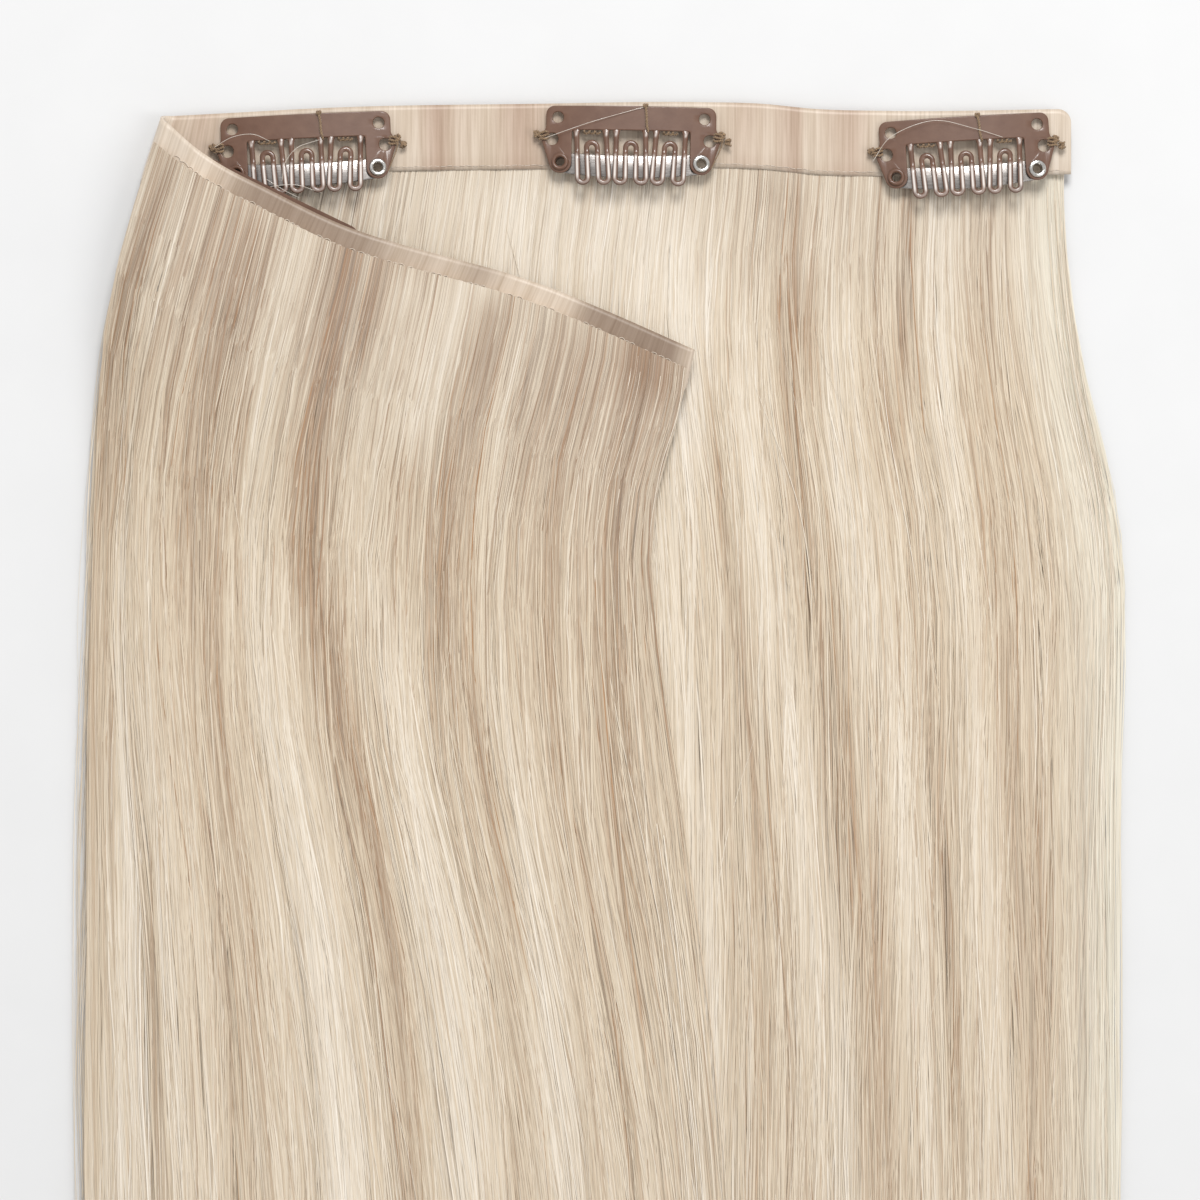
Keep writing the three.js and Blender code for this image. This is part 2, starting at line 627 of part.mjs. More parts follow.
// Outline of one looped tooth, round its own middle: the wire leaves the bar, turns through a lower
// loop, over the arch, through the second lower loop and back up to the bar.
function toothLines(centreRoot, centreTip) {
  const root = BAR_TOP - BAR_HEIGHT;
  const half = WIRE_WIDTH / 2;
  const leg = LEG_SPREAD / 2;
  const loop = LOOP_SPREAD / 2;
  const archRadius = loop - LOOP_RADIUS;
  const slide = (point) => {
    const up = THREE.MathUtils.clamp((point.y + LOOP_DROP) / (root + LOOP_DROP), 0, 1);
    return new THREE.Vector2(point.x + centreTip + (centreRoot - centreTip) * up, point.y);
  };
  const legLine = (side, offset, top) => [
    new THREE.Vector2(side * leg + (offset * LEG_ROOT) / 2, top),
    new THREE.Vector2(side * leg + offset * half, root - LEG_FLARE),
    new THREE.Vector2(side * (loop + LOOP_RADIUS) + offset * half, -LOOP_DROP),
  ];
  const strandTop = (x) => new THREE.Vector2(x, ARCH_HEIGHT);
  const strandEnd = (x) => new THREE.Vector2(x, -LOOP_DROP);
  const outer = [
    ...legLine(-1, -1, root),
    ...arc(-loop, -LOOP_DROP, LOOP_RADIUS + half, Math.PI, 2 * Math.PI),
    strandTop(-archRadius + half),
    ...arc(0, ARCH_HEIGHT, archRadius - half, Math.PI, 0),
    strandEnd(archRadius - half),
    ...arc(loop, -LOOP_DROP, LOOP_RADIUS + half, Math.PI, 2 * Math.PI),
    ...legLine(1, 1, root).slice(0, 2).reverse(),
  ];
  const window = [
    ...legLine(-1, 1, root + WINDOW_RISE),
    ...arc(-loop, -LOOP_DROP, LOOP_RADIUS - half, Math.PI, 2 * Math.PI),
    strandTop(-archRadius - half),
    ...arc(0, ARCH_HEIGHT, archRadius + half, Math.PI, 0),
    strandEnd(archRadius + half),
    ...arc(loop, -LOOP_DROP, LOOP_RADIUS - half, Math.PI, 2 * Math.PI),
    ...legLine(1, -1, root + WINDOW_RISE).slice(0, 2).reverse(),
  ];
  return { outer: outer.map(slide), window: window.map(slide) };
}

// The comb: its teeth side by side under one strip.
function combPiece() {
  const root = BAR_TOP - BAR_HEIGHT;
  const half = COMB_LENGTH / 2;
  const teeth = Array.from({ length: TOOTH_COUNT }, (_, i) => {
    const place = i - (TOOTH_COUNT - 1) / 2;
    return toothLines(place * TOOTH_PITCH_ROOT, place * TOOTH_PITCH_TIP);
  });
  const shape = new THREE.Shape([
    new THREE.Vector2(-half, root + STRIP_HEIGHT),
    new THREE.Vector2(-half, root),
    ...teeth.flatMap((tooth) => tooth.outer),
    new THREE.Vector2(half, root),
    new THREE.Vector2(half, root + STRIP_HEIGHT),
  ]);
  shape.holes = teeth.map((tooth) => new THREE.Path(tooth.window));
  const steps = [STEP_TOP, STEP_TOP - STEP_RUN];
  const lift = (x, y) => archLift(x) + stepLift(y);
  return stamping(shape, SHEET_METAL, [['x', archPlaces], ['y', steps]], lift);
}

// The bow: a leaf from rivet to rivet whose lower edge bellies out.
function bowPiece() {
  const rivet = RIVET_SPACING / 2;
  const shape = new THREE.Shape();
  shape.absarc(rivet, 0, BOW_END_RADIUS, -UP, UP, false);
  shape.quadraticCurveTo(0, 2 * BOW_TOP - BOW_END_RADIUS, -rivet, BOW_END_RADIUS);
  shape.absarc(-rivet, 0, BOW_END_RADIUS, UP, 3 * UP, false);
  shape.quadraticCurveTo(0, BOW_END_RADIUS - 2 * BOW_DROP, rivet, -BOW_END_RADIUS);
  for (const side of [-1, 1]) {
    shape.holes.push(roundHole(side * rivet, 0, RIVET_BARREL + RIVET_FIT));
  }
  const below = (SHEET_METAL + BOW_METAL) / 2 + METAL_GAP;
  const belly = (x) => BOW_RISE * Math.max(0, 1 - (x / (rivet - EAR_RADIUS)) ** 2);
  const cuts = [['x', archPlaces.slice(1, -1)]];
  return stamping(shape, BOW_METAL, cuts, (x) => archLift(x) - below + belly(x));
}

// An eyelet: a flared head over the ear, a barrel through ear and bow, and a foot under the bow.
function rivetPiece() {
  const head = SHEET_METAL / 2 + METAL_GAP;
  const foot = -(SHEET_METAL / 2 + METAL_GAP + BOW_METAL + METAL_GAP);
  const profile = [
    [RIVET_BORE, foot - RIVET_FLANGE_METAL],
    [RIVET_FLANGE, foot - RIVET_FLANGE_METAL],
    [RIVET_FLANGE, foot],
    [RIVET_BARREL, foot],
    [RIVET_BARREL, head],
    [RIVET_FLANGE, head],
    [(RIVET_FLANGE + RIVET_BORE) / 2, head + RIVET_FLANGE_METAL],
    [RIVET_BORE, head + RIVET_FLANGE_METAL / 2],
    [RIVET_BORE, foot - RIVET_FLANGE_METAL],
  ];
  const points = profile.map(([radius, height]) => new THREE.Vector2(radius, height));
  return new THREE.LatheGeometry(points, RIVET_SIDES).rotateX(UP);
}

// A shut clip that the flap hides: the outline of a clip, filled in.
function hiddenClipPiece() {
  const shape = mirrored([new THREE.Vector2(LOOP_SPREAD, -CLIP_DROP), ...clipSide()]);
  return new THREE.ExtrudeGeometry(shape, { depth: HIDDEN_METAL, bevelEnabled: false })
    .translate(0, 0, -HIDDEN_METAL / 2);
}

function piece(name, geometry, material) {
  const mesh = new THREE.Mesh(geometry, material);
  mesh.name = name;
  return mesh;
}

// A clip that shows: its pieces in the frame of its rivet line, tilted, turned and set on the tape.
function shownClip({ name, along, inset, turn }) {
  const tilted = new THREE.Group();
  tilted.rotation.x = -THREE.MathUtils.degToRad(CLIP_TILT);
  tilted.add(piece(`${name}_plate`, platePiece(), materials.lacquer));
  tilted.add(piece(`${name}_comb`, combPiece(), materials.lacquer));
  tilted.add(piece(`${name}_bow`, bowPiece(), materials.lacquer));
  const rivet = RIVET_SPACING / 2;
  const slope = Math.atan((2 * CLIP_SAG * rivet) / (CLIP_LENGTH / 2) ** 2);
  for (const [side, end, material] of [[-1, 'left', 'lacquer'], [1, 'right', 'nickel']]) {
    const eyelet = piece(`${name}_rivet_${end}`, rivetPiece(), materials[material]);
    eyelet.position.set(side * rivet, 0, archLift(rivet));
    eyelet.rotation.y = side * slope;
    tilted.add(eyelet);
  }
  const clip = new THREE.Group();
  const edge = baseEdge(along * BASE_RUN);
  clip.position.set(edge.x, edge.y - inset * TAPE_WIDTH - BAR_TOP, clipHeight());
  clip.rotation.z = THREE.MathUtils.degToRad(turn);
  clip.add(tilted);
  return clip;
}

function hiddenClip({ name, along, inset, turn }) {
  const run = along * FLAP_RUN;
  const edge = flapEdge(run);
  const below = inset * TAPE_WIDTH + BAR_TOP;
  const clip = piece(name, hiddenClipPiece(), materials.lacquer);
  const height = flapHeight(run) - TAPE_THICKNESS / 2 - LAYER_GAP - HIDDEN_METAL / 2;
  clip.position.set(edge.x - below * Math.sin(DIP), edge.y - below * Math.cos(DIP), height);
  clip.rotation.z = THREE.MathUtils.degToRad(turn) - DIP;
  return clip;
}

const extension = new THREE.Group();
extension.add(piece('weft_band', tape(), materials.tape));
extension.add(piece('hair_under', hairSheet(UNDER_DEPTH, UNDER_EDGE_REACH, underPlace, () => 0),
  materials.hair));
extension.add(piece('hair_over', hairSheet(OVER_DEPTH, OVER_EDGE_REACH, overPlace, overFloor),
  materials.hair));
for (const row of SHOWN_CLIPS) {
  extension.add(shownClip(row));
}
for (const row of HIDDEN_CLIPS) {
  extension.add(hiddenClip(row));
}

// The whole is moved so that its box stands on the origin.
const whole = new THREE.Group();
whole.add(extension);
whole.updateMatrixWorld(true);
const box = new THREE.Box3().setFromObject(extension, true);
const middle = box.getCenter(new THREE.Vector3());
extension.position.set(-middle.x, -middle.y, -box.min.z);

export default whole;
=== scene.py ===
"""Clip in hair extension: the looks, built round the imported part.

Lengths are in millimetres in the part's own frame, as in its source: the origin is at the fold, X runs along
the tape, the hair lies towards -Y. new_piece turns them into metres in the row frame.
"""

import math

import bmesh
import bpy
import numpy as np
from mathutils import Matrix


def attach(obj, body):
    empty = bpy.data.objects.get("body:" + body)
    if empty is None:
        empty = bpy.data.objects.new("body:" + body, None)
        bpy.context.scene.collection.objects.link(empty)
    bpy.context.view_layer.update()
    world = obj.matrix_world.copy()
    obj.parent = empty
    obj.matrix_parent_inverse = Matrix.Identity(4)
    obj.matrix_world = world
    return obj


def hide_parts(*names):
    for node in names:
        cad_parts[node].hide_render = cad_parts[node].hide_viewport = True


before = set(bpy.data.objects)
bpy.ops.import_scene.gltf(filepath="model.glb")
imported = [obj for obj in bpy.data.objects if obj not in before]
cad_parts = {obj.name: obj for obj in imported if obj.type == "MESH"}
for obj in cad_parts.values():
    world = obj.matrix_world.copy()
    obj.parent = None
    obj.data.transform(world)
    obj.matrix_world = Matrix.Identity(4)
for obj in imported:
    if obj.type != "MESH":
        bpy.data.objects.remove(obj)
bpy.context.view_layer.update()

MILLIMETRE = 0.001
MODEL_ORIGIN = np.array([-77.216, 214.826, 0.0])  # where the part's own origin is in the row frame

# Tape
TAPE_WIDTH = 11.6
TAPE_THICKNESS = 1.0
FILM = 0.6  # the film itself, in the middle of the room that the part keeps for it
TAPE_CORNER = 2.4
BASE_RUN = 162.0
FLAP_RUN = 101.0
DIP = math.radians(23.4)
FLAP_END_SLANT = math.radians(11)
FLAP_CORNER = 5.0  # radius of the free end's lower corner
CREASE_PLACE = 2.9  # run at which the tape starts to turn over
CREASE_SLANT = math.radians(18)
CREASE_RADIUS = 2.0
CREASE_REACH = 12.0
LAYER_GAP = 0.3
STITCH_INSET = 3.6  # the stitch row, from the tape's top edge
BASE_STITCH_SHARE = 0.94  # the lower stitch row on the clips' side, as a share of the tape's width

# Hair
HAIR_LENGTH = 400.0
ROOT_DEPTH = 1.5
UNDER_DEPTH = 4.2
OVER_DEPTH = 3.0
SETTLE_RUN = 50.0
DRAPE_GAP = 0.5
ROOT_LIFT = 0.6  # the lower sheet's roots are held up by this much
BODY_SHARE = 0.86  # of a sheet's thickness, below its strands
STRAND_ROWS = 20
ROW_SPREAD = 1.5  # rows lie closer together near the roots
BODY_SINK = 0.3  # the dense inside keeps this far below the strands past the roots
UNDER_STRANDS = 8600
OVER_STRANDS = 8600
STRAND_WIDTH = (0.1, 0.26)  # narrowest and widest
CLUMPS = 190  # strands cling together in this many clumps across a sheet

# Snap clip, from the line through its rivets
CLIP_LENGTH = 32.0
BAR_LENGTH = 30.2
BAR_TOP = 10.1
BAR_FOOT = 5.7
BAR_CORNER = 1.5
SIDE_HEIGHT = 6.2
SHOULDER_HEIGHT = 4.3
RIVET_PLACE = 12.5
EAR_RADIUS = 2.0
METAL = 0.45
BOW_METAL = 0.35
METAL_GAP = 0.25
EDGE_ROUNDING = 0.17
CORNER_HOLE = (13.0, 8.0, 1.0)
SEWING_HOLE = (14.0, 4.1, 1.1)
RIVET_HOLE = 1.25
CLIP_SAG = 1.2
CLIP_TILT = math.radians(6)
HIDDEN_METAL = 1.2

# Teeth
TOOTH_PITCH_ROOT = 7.1
TOOTH_PITCH_TIP = 6.6
WIRE_WIDTH = 0.94
LEG_SPREAD = 5.2
LEG_ROOT = 0.9
LEG_FLARE = 0.8
ROOT_FILLET = 0.5  # a leg widens by this much where it meets the bar
LOOP_SPREAD = 3.7
LOOP_RADIUS = 0.9
LOOP_DROP = 2.85
ARCH_HEIGHT = 2.55
TOOTH_STEP = 0.5
STEP_TOP = 2.0
STEP_RUN = 1.2
CLIP_DROP = LOOP_DROP + LOOP_RADIUS + WIRE_WIDTH / 2

# Bow and rivets
BOW_END_RADIUS = 1.8
BOW_TOP = 1.3
BOW_DROP = 2.8
BOW_RISE = 0.3
BOW_CAMBER = 0.16
RIVET_BORE = 0.82
RIVET_BARREL = 0.98
RIVET_FLANGE = 1.55
RIVET_LIP = 0.3

TAPE_LIFT = ROOT_DEPTH + LAYER_GAP + TAPE_THICKNESS / 2
CREASE_LEAN = math.pi / 2 - CREASE_SLANT
CREASE_SLIP = CREASE_RADIUS / math.tan(CREASE_LEAN)  # the tape winds down the fold as it turns
FLAP_LEAN = math.pi / 2 - DIP
COVERED_RUN = TAPE_WIDTH - STITCH_INSET

# The tape's top edge: rise as a share of the tape's width, at as a share of the run.
BASE_WAVE = [
    {"at": 0, "rise": -0.18},
    {"at": 0.08, "rise": -0.12},
    {"at": 0.19, "rise": -0.04},
    {"at": 0.42, "rise": 0.02},
    {"at": 0.59, "rise": 0.045},
    {"at": 0.66, "rise": 0.02},
    {"at": 0.72, "rise": -0.06},
    {"at": 0.8, "rise": -0.09},
    {"at": 1, "rise": -0.06},
]
FLAP_WAVE = [
    {"at": 0, "rise": 0},
    {"at": 0.05, "rise": -0.15},
    {"at": 0.1, "rise": -0.24},
    {"at": 0.2, "rise": -0.305},
    {"at": 0.37, "rise": -0.35},
    {"at": 0.45, "rise": -0.28},
    {"at": 0.54, "rise": -0.165},
    {"at": 0.64, "rise": -0.035},
    {"at": 0.72, "rise": 0.025},
    {"at": 0.8, "rise": 0.043},
    {"at": 1, "rise": 0.035},
]
# How high the flap runs: high is over the clip beneath, low that at the free end.
FLAP_LIFT = [
    {"at": 0, "high": 0, "low": 0},
    {"at": 0.055, "high": 1, "low": 0},
    {"at": 0.43, "high": 1, "low": 0},
    {"at": 0.55, "high": 0.55, "low": 0.45},
    {"at": 0.66, "high": 0, "low": 1},
    {"at": 1, "high": 0, "low": 1},
]
# Side edges of the lower sheet and the sway of its inner strands, as shares of the base run.
UNDER_EDGES = [
    {"at": 0, "left": 0.02, "right": 0.996, "sway": 0},
    {"at": 0.025, "left": -0.005, "right": 0.994, "sway": -0.002},
    {"at": 0.06, "left": -0.035, "right": 0.998, "sway": -0.01},
    {"at": 0.11, "left": -0.062, "right": 1.012, "sway": -0.013},
    {"at": 0.17, "left": -0.075, "right": 1.038, "sway": -0.003},
    {"at": 0.3, "left": -0.079, "right": 1.037, "sway": 0.01},
    {"at": 0.5, "left": -0.078, "right": 1.041, "sway": 0.014},
    {"at": 0.75, "left": -0.07, "right": 1.04, "sway": 0.008},
    {"at": 1, "left": -0.03, "right": 1, "sway": 0},
]
# Sideways drift of the upper sheet's strands, as shares of the base run.
OVER_DRIFT = [
    {"at": 0, "left": 0, "middle": 0, "right": 0},
    {"at": 0.019, "left": -0.015, "middle": -0.009, "right": -0.006},
    {"at": 0.045, "left": -0.034, "middle": -0.025, "right": -0.027},
    {"at": 0.075, "left": -0.051, "middle": -0.04, "right": -0.041},
    {"at": 0.125, "left": -0.065, "middle": -0.055, "right": -0.042},
    {"at": 0.2, "left": -0.072, "middle": -0.05, "right": -0.026},
    {"at": 0.3, "left": -0.075, "middle": 0, "right": 0.003},
    {"at": 0.4, "left": -0.077, "middle": 0.037, "right": 0.022},
    {"at": 0.5, "left": -0.074, "middle": 0.055, "right": 0.031},
    {"at": 0.75, "left": -0.068, "middle": 0.055, "right": 0.025},
    {"at": 1, "left": -0.035, "middle": 0.05, "right": -0.01},
]
HAIR_SWELL = [
    {"at": 0, "swell": 0, "taper": 1},
    {"at": 0.035, "swell": 0.3, "taper": 1},
    {"at": 0.08, "swell": 0.55, "taper": 1},
    {"at": 0.16, "swell": 0.8, "taper": 1},
    {"at": 0.3, "swell": 1, "taper": 1},
    {"at": 0.6, "swell": 1, "taper": 1},
    {"at": 0.8, "swell": 0.8, "taper": 0.9},
    {"at": 1, "swell": 0.1, "taper": 0.4},
]
LOCKS = [
    {"width": 0.6, "height": 0.7, "reach": 0.955},
    {"width": 1, "height": 1, "reach": 0.985},
    {"width": 0.75, "height": 0.8, "reach": 0.96},
    {"width": 0.95, "height": 0.95, "reach": 1},
    {"width": 0.65, "height": 0.75, "reach": 0.97},
    {"width": 0.9, "height": 1, "reach": 0.99},
    {"width": 0.8, "height": 0.85, "reach": 0.965},
    {"width": 1, "height": 0.95, "reach": 0.995},
    {"width": 0.7, "height": 0.75, "reach": 0.975},
    {"width": 0.6, "height": 0.65, "reach": 0.95},
]
LOCK_VALLEY = 0.6
TIP_NOTCH = 0.03
# Thinning to the left and right edge: over which share of the width, and the share of thickness left there.
UNDER_EDGE_REACH = ((0.08, 0.3), (0.08, 0.3))
OVER_EDGE_REACH = ((0.08, 0.3), (0.15, 0.12))

# Shade of the tape along its two runs, from the fold: tone below 0 is browner, above 0 paler.
BASE_TAPE_TONES = [
    {"at": 0, "tone": -0.3},
    {"at": 0.03, "tone": -0.1},
    {"at": 0.05, "tone": -0.3},
    {"at": 0.09, "tone": 0.05},
    {"at": 0.2, "tone": 0},
    {"at": 0.28, "tone": 0.0},
    {"at": 0.305, "tone": -0.55},
    {"at": 0.325, "tone": -0.15},
    {"at": 0.36, "tone": 0.0},
    {"at": 0.395, "tone": -0.5},
    {"at": 0.45, "tone": 0.0},
    {"at": 0.6, "tone": 0.15},
    {"at": 0.64, "tone": -0.25},
    {"at": 0.67, "tone": -0.1},
    {"at": 0.7, "tone": -0.5},
    {"at": 0.71, "tone": 0.05},
    {"at": 0.76, "tone": -0.4},
    {"at": 0.79, "tone": 0.1},
    {"at": 0.95, "tone": 0.1},
    {"at": 1, "tone": 0.25},
]
FLAP_TAPE_TONES = [
    {"at": 0, "tone": 0.25},
    {"at": 0.08, "tone": 0.2},
    {"at": 0.18, "tone": -0.9},
    {"at": 0.32, "tone": -0.9},
    {"at": 0.4, "tone": -0.8},
    {"at": 0.45, "tone": -0.4},
    {"at": 0.55, "tone": -0.2},
    {"at": 0.6, "tone": -0.6},
    {"at": 0.66, "tone": 0.05},
    {"at": 0.76, "tone": 0.0},
    {"at": 0.81, "tone": -0.9},
    {"at": 0.96, "tone": -1.0},
    {"at": 1, "tone": -0.1},
]

# Tone of single locks, and of a few painted highlights and shades: each is a path in the picture plane, in
# millimetres, with half its width.
OVER_TONES = [
    # warm strip inside the left edge
    {
        "tone": -0.3,
        "half": 2.3,
        "path": [
            (0.9, -16.7), (-6.8, -34.5), (-9.6, -52.3), (-10.9, -87.9), (-11.9, -141.3), (-12.1, -194.7),
        ],
    },
    # pale wisps along the left edge
    {
        "tone": 0.7,
        "half": 1.1,
        "path": [
            (-1.8, -14.1), (-9.4, -34.5), (-12.5, -61.2), (-13.9, -105.7), (-14.4, -159.1),
            (-14.2, -194.7),
        ],
    },
    # pale strip beside it
    {
        "tone": 0.35,
        "half": 3.2,
        "path": [(5.7, -16.7), (0.4, -34.5), (-3.2, -61.2), (-5.3, -105.7), (-5.9, -159.1), (-5.9, -194.7)],
    },
    # grey patch at the fold's roots
    {"tone": -0.3, "half": 3.2, "path": [(13.5, -15), (9.6, -27.8)]},
    # caramel streaks
    {
        "tone": -0.45,
        "half": 3.9,
        "path": [
            (18.2, -23), (11, -43.4), (7.1, -64.8), (7.5, -87.9), (9.6, -114.6), (12.1, -141.3),
            (14.2, -168), (16, -194.7),
        ],
    },
    # caramel line
    {
        "tone": -0.6,
        "half": 0.9,
        "path": [(16, -48.8), (13.9, -64.8), (14.2, -82.6), (15.3, -105.7), (18.2, -132.4)],
    },
    # the brightest lock
    {
        "tone": 0.75,
        "half": 4.1,
        "path": [
            (24.9, -23.9), (19.9, -45.2), (17.1, -63), (16.4, -82.6), (19.6, -104), (25.3, -132.4),
            (29.7, -159.1), (32.9, -194.7),
        ],
    },
    # the deepest lowlight
    {
        "tone": -0.85,
        "half": 2.7,
        "path": [
            (34.2, -25.6), (31.3, -43.4), (27.2, -61.2), (25.8, -75.5), (28.8, -93.3), (32.9, -111.1),
            (36.5, -125.3), (40.6, -144.9), (43.1, -166.3), (45.4, -194.7),
        ],
    },
    # brown root patch
    {"tone": -0.5, "half": 2.1, "path": [(40, -26.5), (37, -40.8)]},
    # second pale lock
    {
        "tone": 0.6,
        "half": 3.4,
        "path": [
            (43.6, -34.5), (38.1, -52.3), (34.9, -70.1), (36, -80.8), (40.2, -97.7), (44.3, -117.5),
            (47.7, -136.9), (51.6, -159.1), (55.2, -194.7),
        ],
    },
    # painted highlight: sheen on the roots
    {"tone": 0.9, "half": 4.6, "path": [(56.6, -30.1), (51.3, -40.8), (47, -54.1)]},
    # lowlight right of the middle
    {
        "tone": -0.55,
        "half": 2.3,
        "path": [
            (58.4, -38.1), (53.8, -59.5), (51.3, -73.7), (50.7, -86.2), (52.3, -98.6), (55.9, -112),
            (58.2, -121.8), (61.4, -141.3), (64.1, -168), (65.9, -194.7),
        ],
    },
    # pale lock right of the middle
    {
        "tone": 0.5,
        "half": 3.2,
        "path": [
            (67.6, -38.1), (63, -52.9), (60, -66.6), (59.1, -85.3), (60, -104), (63.7, -128.9),
            (68.5, -159.1), (71.2, -194.7),
        ],
    },
    # grey shade at the roots
    {"tone": -0.7, "half": 1.4, "path": [(69.1, -39.9), (65.9, -47), (64.3, -55.9)]},
    # beige lock
    {
        "tone": -0.3,
        "half": 2.5,
        "path": [
            (73.9, -45.2), (70, -63), (68.5, -87.9), (70, -114.6), (73.9, -141.3), (76.9, -168),
            (78.3, -194.7),
        ],
    },
    # brown streaks under the flap's end
    {
        "tone": -0.35,
        "half": 3.4,
        "path": [
            (88.1, -47.3), (82.2, -61.2), (79.7, -80.8), (79.7, -105.7), (81.5, -132.4), (84, -159.1),
            (86.3, -194.7),
        ],
    },
    # dark shade at the flap's end
    {"tone": -0.95, "half": 5.3, "path": [(86.2, -43.8), (85.9, -47.3)]},
]
UNDER_TONES = [
    # painted highlight: broad sheen on the hair below the tape
    {"tone": 0.5, "half": 23.1, "path": [(65.9, -13.2), (67.6, -25.6), (71.2, -39.9)]},
    # pale roots under clip 2
    {"tone": 0.5, "half": 5.0, "path": [(88.1, -18.5), (91.1, -39.9), (92.6, -52.3)]},
    # pale hair beside the flap
    {
        "tone": 0.55,
        "half": 3.0,
        "path": [
            (98.3, -34.5), (93.3, -55.9), (89.7, -75.5), (91.8, -95.8), (94.7, -123), (97, -150.2),
            (98.8, -194.7),
        ],
    },
    # thin lowlight
    {
        "tone": -0.6,
        "half": 0.9,
        "path": [
            (100.4, -34.5), (98.4, -55), (100.9, -82.2), (102.7, -95.8), (105.2, -116.2),
            (108.6, -141.3),
        ],
    },
    # warm pale lock
    {
        "tone": 0.65,
        "half": 3.6,
        "path": [
            (104.7, -41.7), (105.9, -70.1), (108.2, -89), (112, -109.5), (115, -129.9), (118.7, -159.1),
            (121.4, -194.7),
        ],
    },
    # beige roots beside clip 2
    {"tone": -0.55, "half": 5.3, "path": [(111.2, -14.1), (112.5, -27.4), (113.2, -41.7)]},
    # broad lowlight
    {
        "tone": -0.6,
        "half": 3.6,
        "path": [
            (112.1, -34.5), (112.7, -52.3), (113.9, -68.5), (118.5, -95.8), (121.9, -123),
            (125, -141.3), (128.2, -168), (129.9, -194.7),
        ],
    },
    # second pale lock
    {
        "tone": 0.55,
        "half": 2.7,
        "path": [
            (120.7, -39.9), (120.7, -61.8), (125, -82.2), (129.2, -102.5), (131.7, -123),
            (134.4, -150.2), (137.1, -194.7),
        ],
    },
    # dark line below clip 3
    {"tone": -0.8, "half": 1.4, "path": [(133.1, -15.8), (132.8, -27.4), (131.4, -41.7), (129.9, -55.9)]},
    # thin dark line
    {
        "tone": -0.65,
        "half": 0.9,
        "path": [
            (132.3, -39.9), (132.3, -57.7), (133.9, -77.3), (135.5, -96.8), (137.1, -112.9),
            (139.6, -137.8), (141.5, -168),
        ],
    },
    # beige below clip 3
    {"tone": -0.35, "half": 3.2, "path": [(126.7, -15), (126.7, -39.9), (128.2, -59.5)]},
    # pale lock below clip 3
    {
        "tone": 0.4,
        "half": 3.2,
        "path": [
            (139.7, -18.5), (139, -52.3), (140.3, -70.1), (143.5, -95.8), (146.8, -132.4),
            (149.5, -168), (150.4, -194.7),
        ],
    },
    # beige lock
    {
        "tone": -0.4,
        "half": 3.6,
        "path": [
            (146.8, -23.9), (145.6, -41.3), (147.4, -68.5), (150.2, -95.8), (153.1, -129.9),
            (155.2, -159.1), (156.6, -194.7),
        ],
    },
    # right-hand pale wisps
    {
        "tone": 0.5,
        "half": 2.8,
        "path": [
            (158.8, -25.6), (160.6, -52.3), (165.2, -75.5), (167.9, -102.5), (168, -141.3),
            (168.4, -194.7),
        ],
    },
    # beige inside the right edge
    {
        "tone": -0.2,
        "half": 1.8,
        "path": [
            (155.8, -25.6), (156.6, -52.3), (160.6, -80.8), (163.4, -114.6), (164.1, -159.1),
            (164.7, -194.7),
        ],
    },
]

# Clips that show, along the base run; inset is from the tape's top edge to the bar, as a share of its width.
SHOWN_CLIPS = [
    {"name": "clip_1", "along": 0.163, "inset": 0.08, "turn": 2.7, "comb_body": "root"},
    {"name": "clip_2", "along": 0.517, "inset": 0.055, "turn": -0.9, "comb_body": "clip_2_comb"},
    {"name": "clip_3", "along": 0.885, "inset": 0.1, "turn": 3.5, "comb_body": "clip_3_comb"},
]


def smooth_column(rows, column, at):
    """A table's column at any place: a cubic from row to row whose slope at a row is that of its
    neighbours."""
    places = np.array([row["at"] for row in rows], float)
    values = np.array([row[column] for row in rows], float)
    slopes = np.gradient(values, places)
    at = np.clip(np.asarray(at, float), places[0], places[-1])
    low = np.clip(np.searchsorted(places, at, side="right") - 1, 0, len(places) - 2)
    span = places[low + 1] - places[low]
    t = (at - places[low]) / span
    start = (2 * t**3 - 3 * t**2 + 1) * values[low] + (t**3 - 2 * t**2 + t) * span * slopes[low]
    end = (3 * t**2 - 2 * t**3) * values[low + 1] + (t**3 - t**2) * span * slopes[low + 1]
    return start + end


def straight_column(rows, column, at):
    """A table's column at any place, on straight lines between its rows."""
    return np.interp(at, [row["at"] for row in rows], [row[column] for row in rows])


def ease(value, start, end):
    """0 before start, 1 after end, and 3t^2 - 2t^3 between them."""
    t = np.clip((value - start) / (end - start), 0, 1)
    return t * t * (3 - 2 * t)


def unit(vectors):
    """Vectors divided by their own length."""
    return vectors / np.maximum(np.linalg.norm(vectors, axis=-1, keepdims=True), 1e-9)


# Surfaces


def grid_quads(rows, columns):
    """Corner numbers of the quads of one grid of points."""
    number = np.arange(rows * columns).reshape(rows, columns)
    return np.stack([number[:-1, :-1], number[1:, :-1], number[1:, 1:], number[:-1, 1:]], -1).reshape(-1, 4)


def closed_sheet(front, back):
    """The closed body between two grids of points: both grids' quads, and a wall of quads round their rim."""
    rows, columns = front.shape[:2]
    number = np.arange(rows * columns).reshape(rows, columns)
    behind = rows * columns
    rim = np.concatenate([number[:-1, 0], number[-1, :-1], number[:0:-1, -1], number[0, :0:-1]])
    following = np.roll(rim, -1)
    wall = np.stack([rim, rim + behind, following + behind, following], -1)
    quads = grid_quads(rows, columns)
    points = np.concatenate([front.reshape(-1, 3), back.reshape(-1, 3)])
    return points, np.concatenate([quads, quads[:, ::-1] + behind, wall])


